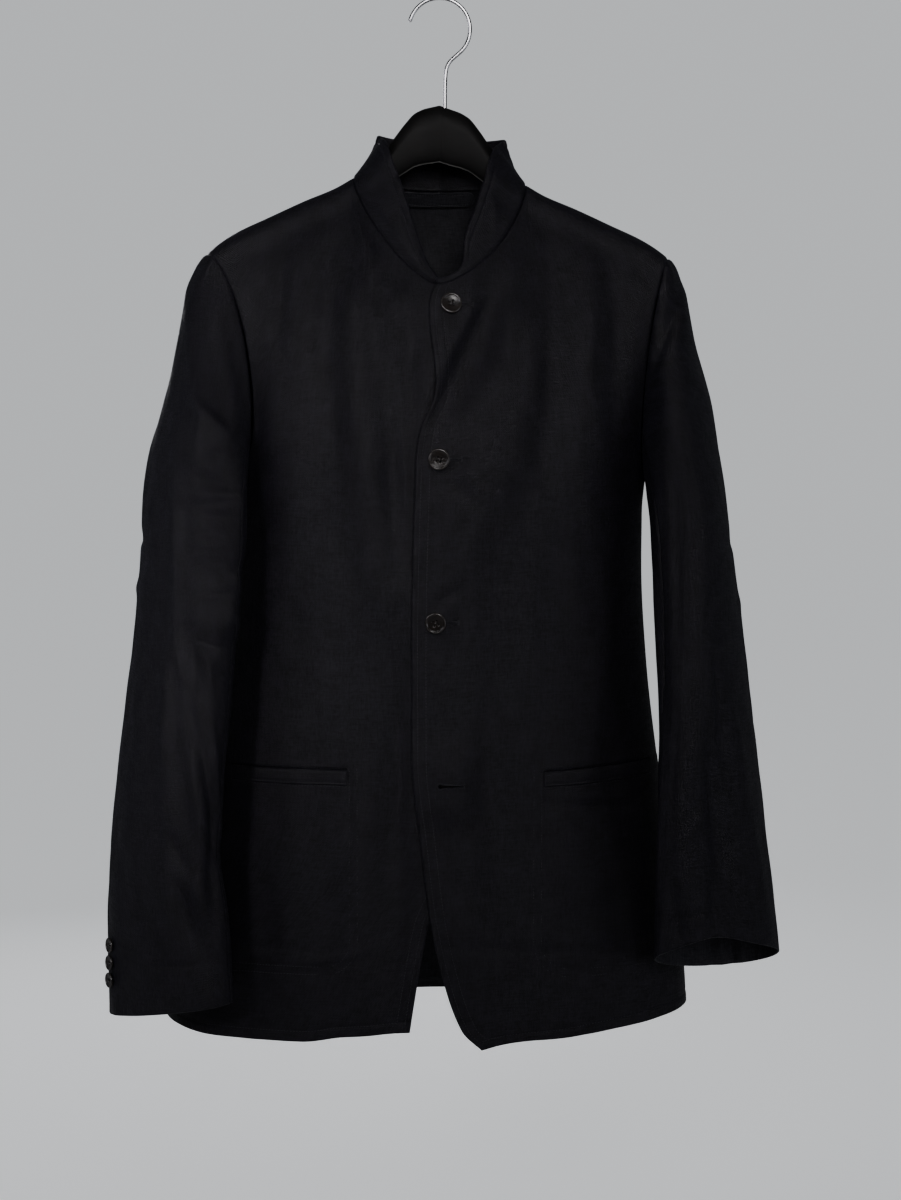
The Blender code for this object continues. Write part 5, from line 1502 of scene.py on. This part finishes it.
def horn(name):
    """Dark brown horn: streaks through the disc, a paler mottled rim that is partly the horn's own and
    partly a painted highlight, and a high polish.
    """
    look, tree, shader = new_look(name)
    disc = add_node(tree, "ShaderNodeUVMap", {"uv_map": "disc"}).outputs[0]
    stretch = add_node(tree, "ShaderNodeMapping", Vector=disc, Scale=(90, 420, 1))
    streaks = noise(tree, stretch.outputs[0], 1.0, 5.0, Distortion=1.4)
    body = toned(tree, streaks, (0.0022, 0.0016, 0.0013), (0.014, 0.0085, 0.0058), 0.35, 0.70)
    # Towards the edge the disc is painted paler in mottles: partly the horn's own paler rim, partly a
    # painted highlight standing in for the gloss on the rim.
    rim = add_node(tree, "ShaderNodeAttribute", {"attribute_name": "rim"})
    mottle = noise(tree, disc, 520.0, 3.0)
    pale = ranged(tree, rim.outputs["Fac"], 0.0, 0.75, 0.74, 0.96)
    mixed = add_node(
        tree,
        "ShaderNodeMix",
        {"data_type": "RGBA"},
        Factor=math_node(tree, "MULTIPLY", pale, mottle),
        A=body,
        B=(0.045, 0.040, 0.036, 1),
    )
    filled(
        tree,
        shader,
        Base_Color=mixed.outputs["Result"],
        Roughness=ranged(tree, mottle, 0.13, 0.30),
        Normal=bumped(tree, streaks, 0.18, 0.0002),
        Coat_Weight=0.35,
        Coat_Roughness=0.12,
    )
    return look


def add_tube(made, path, radius, sides, look):
    """A round strand along the path, closed at its ends."""
    rings = []
    first = None
    for k, place in enumerate(path):
        ahead = (path[min(k + 1, len(path) - 1)] - path[max(k - 1, 0)]).normalized()
        # Each ring keeps the turn of the one before, so that the strand isn't twisted.
        across = ahead.orthogonal() if first is None else first - ahead * first.dot(ahead)
        first = across.normalized()
        second = ahead.cross(first)
        ring = []
        for n in range(sides):
            turn = 2 * math.pi * n / sides
            off = (first * math.cos(turn) + second * math.sin(turn)) * radius
            ring.append(made.verts.new((place + off) * MM))
        rings.append(ring)
    faces = []
    for a, b in zip(rings, rings[1:]):
        for n in range(sides):
            m = (n + 1) % sides
            faces.append(made.faces.new((a[n], a[m], b[m], b[n])))
    faces += [made.faces.new(rings[0][::-1]), made.faces.new(rings[-1])]
    for face in faces:
        face.material_index = look
        face.smooth = True


def turned_button(size):
    """A turned disc with a rounded rim, a groove, a dished middle and four holes."""
    r, t = size["radius"], size["thick"]
    profile = (
        (0.0, 0.0),
        (0.55, 0.0),
        (0.80, 0.12),
        (0.93, 0.32),
        (0.985, 0.50),
        (1.0, 0.64),
        (0.985, 0.80),
        (0.945, 0.93),
        (0.89, 0.995),
        (0.84, 0.99),
        (0.79, 0.92),
        (0.755, 0.80),
        (0.72, 0.755),
        (0.68, 0.765),
        (0.62, 0.75),
        (0.45, 0.70),
        (0.25, 0.675),
        (0.0, 0.67),
    )
    made = bmesh.new()
    points = [made.verts.new((a * r * MM, 0, b * t * MM)) for a, b in profile]
    edges = [made.edges.new(pair) for pair in zip(points, points[1:])]
    bmesh.ops.spin(
        made, geom=points + edges, cent=(0, 0, 0), axis=(0, 0, 1), angle=2 * math.pi, steps=72
    )
    bmesh.ops.remove_doubles(made, verts=made.verts, dist=1e-6)
    bmesh.ops.recalc_face_normals(made, faces=made.faces)
    mesh = bpy.data.meshes.new("button_blank")
    made.to_mesh(mesh)
    made.free()
    blank = new_object("button_blank", mesh)
    drill = bpy.data.meshes.new("button_drill")
    made = bmesh.new()
    for k in range(4):
        turn = math.radians(45 + 90 * k)
        place = Vector((math.cos(turn), math.sin(turn), 0)) * HOLES_OUT * r * MM
        bmesh.ops.create_cone(
            made,
            cap_ends=True,
            segments=20,
            radius1=HOLE_SHARE * r * MM,
            radius2=HOLE_SHARE * r * MM,
            depth=20 * MM,
            matrix=Matrix.Translation(place),
        )
    made.to_mesh(drill)
    made.free()
    bits = new_object("button_drill", drill)
    mesh = cut_away(blank, bits)
    bpy.data.objects.remove(blank)
    bpy.data.objects.remove(bits)
    made = bmesh.new()
    made.from_mesh(mesh)
    for face in made.faces:
        face.smooth = True
    # The thread crosses between the holes, and its winding stands the button off the cloth.
    for k in range(2):
        turn = math.radians(45 + 90 * k)
        ahead = Vector((math.cos(turn), math.sin(turn), 0))
        aside = Vector((-math.sin(turn), math.cos(turn), 0))
        for strand in (-0.5, 0.5):
            path = [
                (ahead * (HOLES_OUT * r * a) + aside * strand * 0.42 + Vector((0, 0, b)))
                for a, b in (
                    (-1.0, 0.35 * t),
                    (-0.96, 0.66 * t + 0.10),
                    (-0.6, 0.68 * t + 0.38 + 0.12 * k),
                    (0, 0.68 * t + 0.48 + 0.22 * k),
                    (0.6, 0.68 * t + 0.38 + 0.12 * k),
                    (0.96, 0.66 * t + 0.10),
                    (1.0, 0.35 * t),
                )
            ]
            add_tube(made, path, 0.24, 8, 1)
    add_tube(made, [Vector((0, 0, z)) for z in (-1.6, -0.8, 0.0, 0.2)], 1.3, 16, 1)
    made.to_mesh(mesh)
    made.free()
    return mesh


def seated(point, normal, offset):
    """A frame whose +Z leaves the cloth at a point, and whose +Y stays upwards."""
    out = Vector(normal).normalized()
    across = Vector((0, 0, 1)).cross(out).normalized()
    seat = Matrix((across, out.cross(across), out)).transposed().to_4x4()
    seat.translation = (Vector(point) + out * offset) * MM
    return seat


HORN = horn("brown_horn")
BUTTON_THREAD = thread_look("button_thread", (0.003, 0.003, 0.004), (0.014, 0.014, 0.017), 0.5)
blanks = {"front": turned_button(FRONT_BUTTON), "cuff": turned_button(CUFF_BUTTON)}


def sew_on(name, kind, place, number):
    """A copy of the turned button in its place, with its own turn and its own streaks."""
    mesh = blanks[kind].copy()
    mesh.name = name
    turned = Matrix.Rotation(0.35 * math.sin(2.4 * number + 0.4), 4, "Z")
    points = np.empty(3 * len(mesh.vertices), np.float32)
    mesh.vertices.foreach_get("co", points)
    points = points.reshape(-1, 3)
    size = FRONT_BUTTON if kind == "front" else CUFF_BUTTON
    rim = mesh.attributes.new("rim", "FLOAT", "POINT")
    far = np.hypot(points[:, 0], points[:, 1]) / (size["radius"] * MM)
    rim.data.foreach_set("value", far.astype(np.float32))
    corner = np.empty(len(mesh.loops), np.int32)
    mesh.loops.foreach_get("vertex_index", corner)
    disc = mesh.uv_layers.new(name="disc")
    places = points[corner, :2] + np.array([0.037, 0.021]) * number
    disc.data.foreach_set("uv", places.astype(np.float32).ravel())
    mesh.transform(place @ turned)
    mesh.materials.clear()
    mesh.materials.append(HORN)
    mesh.materials.append(BUTTON_THREAD)
    button = new_object(name, mesh)
    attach(button, "root")
    return button


def front_seat(x, z, stem, side):
    here = on_front(np.array([x]), np.array([z]), side, 0)[0]
    ahead = on_front(np.array([x]), np.array([z]), side, 1)[0]
    return seated(here, ahead - here, stem)


for number, (x, z, stem) in FRONT_BUTTONS.items():
    button = sew_on(f"front_button_{number}", "front", front_seat(x, z, stem, 1), number)
    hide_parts(f"button_front_{number}")
button = sew_on("front_button_4", "front", front_seat(*COVERED_BUTTON, COVERED_STEM, -1), 4)
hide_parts("button_front_4")
for side, named in ((1, "left"), (-1, "right")):
    for k in range(3):
        up = CUFF_BUTTONS["lowest"] + k * CUFF_BUTTONS["pitch"]
        down = 1 - up / SLEEVE_LENGTH
        hind = SLEEVE_SEAM[side]["hind"]
        around = hind[0] + (hind[1] - hind[0]) * float(smooth(down)) + CUFF_BUTTONS["around"]
        at = np.array([[around, around + 1], [around, around + 1]])
        rows = np.array([[down, down], [down + 0.002, down + 0.002]])
        places = sleeve_point(side, at, rows)
        out = unit(np.cross(places[0, 1] - places[0, 0], places[1, 0] - places[0, 0])) * side
        seat = seated(places[0, 0], out, CUFF_BUTTONS["shank"])
        button = sew_on(f"{named}_cuff_button_{3 - k}", "cuff", seat, 5 + k + 3 * (side < 0))
        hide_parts(f"button_cuff_{named}_{3 - k}")

# ================================================================ the hanger
# One broad arm moulded in black plastic, thick as a shoulder and arched below, with a mould
# line down its middle and a thin pale line painted along the front of its underside: a painted
# highlight. The body's cloth rests on it.

HANGER = Table(
    ("across", "above", "tall", "slack"),
    (0, 37, 51, 5),
    (14, 37, 50, 5),
    (24, 35, 48, 4.8),
    (33, 28, 44, 4.6),
    (42, 19, 38, 4.4),
    (52, 9, 32, 4),
    (64, -1, 27, 4.4),
    (79, -4.4, 24, 4.6),
    (95, -2.8, 23, 4.5),
    (124, -2.5, 23, 4.8),
    (185, -3.0, 25, 6.0),
    (198, -3.8, 22, 8.6),
    (206, -9, 12, 13),
)
HANGER_END = 206.0
HANGER_CENTRE = 2.5
HANGER_SHARPNESS = 1.3  # 1 would be an oval section
NECK_SHARPNESS = 0.45  # below the neck the faces run straight down to the trimmed edge
HIGHLIGHT_EDGE_ANGLE = 262.0
MOULD_LINE = 0.12
# The rings that round off each end: the share of the last section's size, and how far out.
END_ROUNDS = ((0.82, 0.6), (0.5, 1.15), (0.15, 1.4))


def neck_share(far):
    """From 1 in the arched neck of the hanger to 0 along its arms."""
    return smooth((104 - far) / 40)


def painted_highlight_edge(across, angle):
    """How much a place belongs to the thin line along the front of the underside that is painted pale as
    a highlight.
    """
    away = (np.degrees(angle) - HIGHLIGHT_EDGE_ANGLE) / 1.9
    return np.exp(-(away**2)) * neck_share(np.abs(across))


def hanger_ring(across, angle):
    """The arm's section at a distance from its middle."""
    far = np.abs(across)
    x = across + HANGER_CENTRE * (1 - far / HANGER_END)
    top = shoulder_height(x) + HANGER.read("above", far)
    tall = HANGER.read("tall", far)
    half = SHOULDER.read("thick", far) - HANGER.read("slack", far)
    upper = np.minimum(SHOULDER_ROLL - 2.6, tall * 0.62)
    rise = np.sin(angle)
    reach = np.where(rise > 0, upper, tall - upper)
    boxed = neck_share(far) * (rise < 0)
    power = HANGER_SHARPNESS + boxed * (NECK_SHARPNESS - HANGER_SHARPNESS)
    wide = np.sign(np.cos(angle)) * np.abs(np.cos(angle)) ** power
    line = MOULD_LINE * np.exp(-((across / 0.55) ** 2))
    grow = 1 + line / 14 * (np.abs(wide) > 0.25)
    reach = reach + 0.6 * painted_highlight_edge(across, angle)
    return np.stack([x + 0 * angle, half * wide * grow, top - upper + reach * rise], axis=-1)


across = spread(-HANGER_END, HANGER_END, 211, (0, 2.2, 9), (-200, 12, 3), (200, 12, 3))[:, None]
angle = np.linspace(0, 2 * math.pi, 73)[:-1]
angle = angle + 0.30 * np.sin(2 * angle)
fine = HIGHLIGHT_EDGE_ANGLE + np.array([-6, -4, -2.6, -1.3, 0, 1.3, 2.6, 4])
angle = np.sort(np.concatenate([angle, np.radians(fine)]))
ring = hanger_ring(across + 0 * angle, angle + 0 * across)
caps = []
for end in (0, -1):
    middle = ring[end].mean(axis=0)
    for share, out_by in END_ROUNDS:
        outwards = (np.sign(middle[0]) * out_by, 0, 0)
        caps.append(middle + (ring[end] - middle) * share + outwards)
rings = np.concatenate([np.array(caps[:3])[::-1], ring, np.array(caps[3:])])
count = rings.shape[1]
index = np.arange(rings.shape[0] * count).reshape(rings.shape[:2])
after = np.roll(index, -1, axis=1)
quads = np.stack([index[:-1], after[:-1], after[1:], index[1:]], axis=-1).reshape(-1, 4)
made = bmesh.new()
places = [made.verts.new(p * MM) for p in rings.reshape(-1, 3)]
for quad in quads:
    made.faces.new([places[k] for k in quad])
made.faces.new([places[k] for k in index[0][::-1]])
made.faces.new([places[k] for k in index[-1]])
bmesh.ops.recalc_face_normals(made, faces=made.faces)
mesh = bpy.data.meshes.new("hanger_arm")
made.to_mesh(mesh)
made.free()
mesh.shade_smooth()
painted_highlight = np.zeros(rings.shape[:2])
painted_highlight[3:-3] = painted_highlight_edge(across, angle)
mesh.attributes.new("painted_highlight", "FLOAT", "POINT").data.foreach_set("value", painted_highlight.ravel())
hanger = new_object("hanger_arm", mesh)

look, tree, shader = new_look("black_moulded_plastic")
place = add_node(tree, "ShaderNodeTexCoord").outputs["Object"]
cloudy = noise(tree, place, 45.0, 5.0)
moulded = toned(tree, cloudy, (0.0032, 0.0031, 0.0029), (0.0060, 0.0057, 0.0053), 0.3, 0.75)
# A thin pale line painted along the front of the underside: a painted highlight.
painted_highlight = add_node(tree, "ShaderNodeAttribute", {"attribute_name": "painted_highlight"})
with_painted_highlight = add_node(
    tree,
    "ShaderNodeMix",
    {"data_type": "RGBA"},
    Factor=painted_highlight.outputs["Fac"],
    A=moulded,
    B=(0.20, 0.20, 0.19, 1),
)
grain = {"Scale": (60, 500, 900), "Rotation": (0, 0.35, 0)}
brushed = add_node(tree, "ShaderNodeMapping", Vector=place, **grain)
scratches = noise(tree, brushed.outputs[0], 1.0, 4.0)
filled(
    tree,
    shader,
    Base_Color=with_painted_highlight.outputs["Result"],
    Roughness=ranged(tree, scratches, 0.5, 0.62, 0.35, 0.7),
    Normal=bumped(tree, scratches, 0.12, 0.0002),
    Specular_IOR_Level=0.14,
)
mesh.materials.append(look)
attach(hanger, "root")
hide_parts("hanger")

# ================================================================ the hook
# Bright chromed steel wire, bent to a round crook with a rounded tip, and screwed down into
# the hanger's neck. The jacket's mount is the inside of its top.

HOOK_WIRE = 1.75
HOOK_RADIUS = 26.0  # to the inside of the wire
HOOK_TIP_ANGLE = 163.0
HOOK_LEAVES = -50.0
HOOK_STEM = ((13.2, -51.2), (8.6, -56.0), (6.2, -62.0), (5.3, -72.0), (5.0, -84.0), (5.0, -112.0))

turns = np.radians(np.linspace(HOOK_TIP_ANGLE, HOOK_LEAVES, 90))
round_part = (HOOK_RADIUS + HOOK_WIRE) * np.stack([np.cos(turns), np.sin(turns)], axis=-1)
round_part = round_part - (0, HOOK_RADIUS)
knots = np.array([round_part[-6], round_part[-1], *HOOK_STEM])
walk = walked(knots[None], 1)[0]
bends = Table(("along", "x", "z"), *zip(walk, *knots.T))
along = np.linspace(walk[1], walk[-1], 70)[1:]
line = np.concatenate([round_part, np.stack([bends.read("x", along), bends.read("z", along)], -1)])
line = [Vector((x, 0, z)) for x, z in line]
made = bmesh.new()
add_tube(made, line, HOOK_WIRE, 24, 0)
tip = line[0] + (line[0] - line[1]).normalized() * 0.1
bmesh.ops.create_uvsphere(
    made,
    u_segments=24,
    v_segments=12,
    radius=HOOK_WIRE * 1.02 * MM,
    matrix=Matrix.Translation(tip * MM),
)
for face in made.faces:
    face.smooth = len(face.verts) < 5
mesh = bpy.data.meshes.new("hook_wire")
bmesh.ops.recalc_face_normals(made, faces=made.faces)
made.to_mesh(mesh)
made.free()
hook = new_object("hook_wire", mesh)
look, tree, shader = new_look("polished_chrome")
haze = noise(tree, add_node(tree, "ShaderNodeTexCoord").outputs["Object"], 260.0, 4.0)
filled(
    tree,
    shader,
    Base_Color=toned(tree, haze, (0.62, 0.62, 0.63), (0.80, 0.80, 0.81)),
    Roughness=ranged(tree, haze, 0.05, 0.16),
    Metallic=1.0,
)
mesh.materials.append(look)
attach(hook, "root")
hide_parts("hook")

# ================================================================ floor, light and camera
# A pale studio floor meets an equally pale surround. Five soft lamps light the jacket: a
# narrow one in front, one each side to open the shadows, one for a sleeve and one behind.

SURROUND = (0.97, 1.0, 1.03)
SEEN = 0.60  # how bright the surround looks
GIVEN = 0.07  # how much light it gives
FLOOR_PALE = 0.80
FLOOR_LEVEL = -1.35  # metres, as are all places in this section


def seen_only(tree, seen, other):
    """A strength that is one thing as it is looked at, and another as a source of light."""
    ray = add_node(tree, "ShaderNodeLightPath")
    return ranged(tree, ray.outputs["Is Camera Ray"], other, seen)


bpy.ops.mesh.primitive_plane_add(size=40, location=(0, 0, FLOOR_LEVEL))
floor = bpy.context.object
floor.name = "floor"
pale, tree, shader = new_look("pale_floor")
filled(
    tree,
    shader,
    Base_Color=(FLOOR_PALE, FLOOR_PALE, FLOOR_PALE, 1),
    Roughness=0.9,
    Specular_IOR_Level=0.1,
    Emission_Color=(*SURROUND, 1),
    Emission_Strength=seen_only(tree, SEEN - FLOOR_PALE * GIVEN, 0.0),
)
floor.data.materials.append(pale)

sky = bpy.data.worlds.new("soft_surround")
bpy.context.scene.world = sky
sky.use_nodes = True
tree = sky.node_tree
glow = seen_only(tree, SEEN, GIVEN)
filled(tree, tree.nodes["Background"], Color=(*SURROUND, 1), Strength=glow)
for name, place, size, power, colour, spread_by, goal in (
    ("key_light", (0.2, -2.0, 0.5), 0.8, 2.05, (1.0, 0.97, 0.98), 52, (0, 0, -0.15)),
    ("left_fill", (-1.9, -1.4, 0.1), 1.0, 9.0, (0.92, 0.9, 1.0), 180, (0, 0, -0.45)),
    ("sleeve_light", (-1.0, -1.9, 0.1), 0.5, 0.65, (1.0, 0.97, 1.0), 20, (-0.42, 0, -0.52)),
    ("right_fill", (1.9, -1.5, -0.6), 1.2, 7.0, (0.9, 0.9, 1.0), 180, (0, 0, -0.6)),
    ("back_light", (-0.5, 2.2, -0.1), 0.8, 10.0, (0.95, 0.95, 1.0), 180, (0, 0, -0.4)),
):
    lamp = bpy.data.lights.new(name, "AREA")
    lamp.size = size
    lamp.energy = power
    lamp.color = colour
    lamp.spread = math.radians(spread_by)
    holder = new_object(name, lamp)
    holder.location = place
    holder.visible_camera = False
    aim = Vector(goal) - Vector(place)
    holder.rotation_euler = aim.to_track_quat("-Z", "Y").to_euler()

lens = bpy.data.cameras.new("camera")
lens.lens = 70
lens.sensor_width = 36
camera = new_object("camera", lens)
camera.location = (0.010, -2.15, -0.3567)
camera.rotation_euler = (math.radians(85), 0, 0)
bpy.context.scene.camera = camera
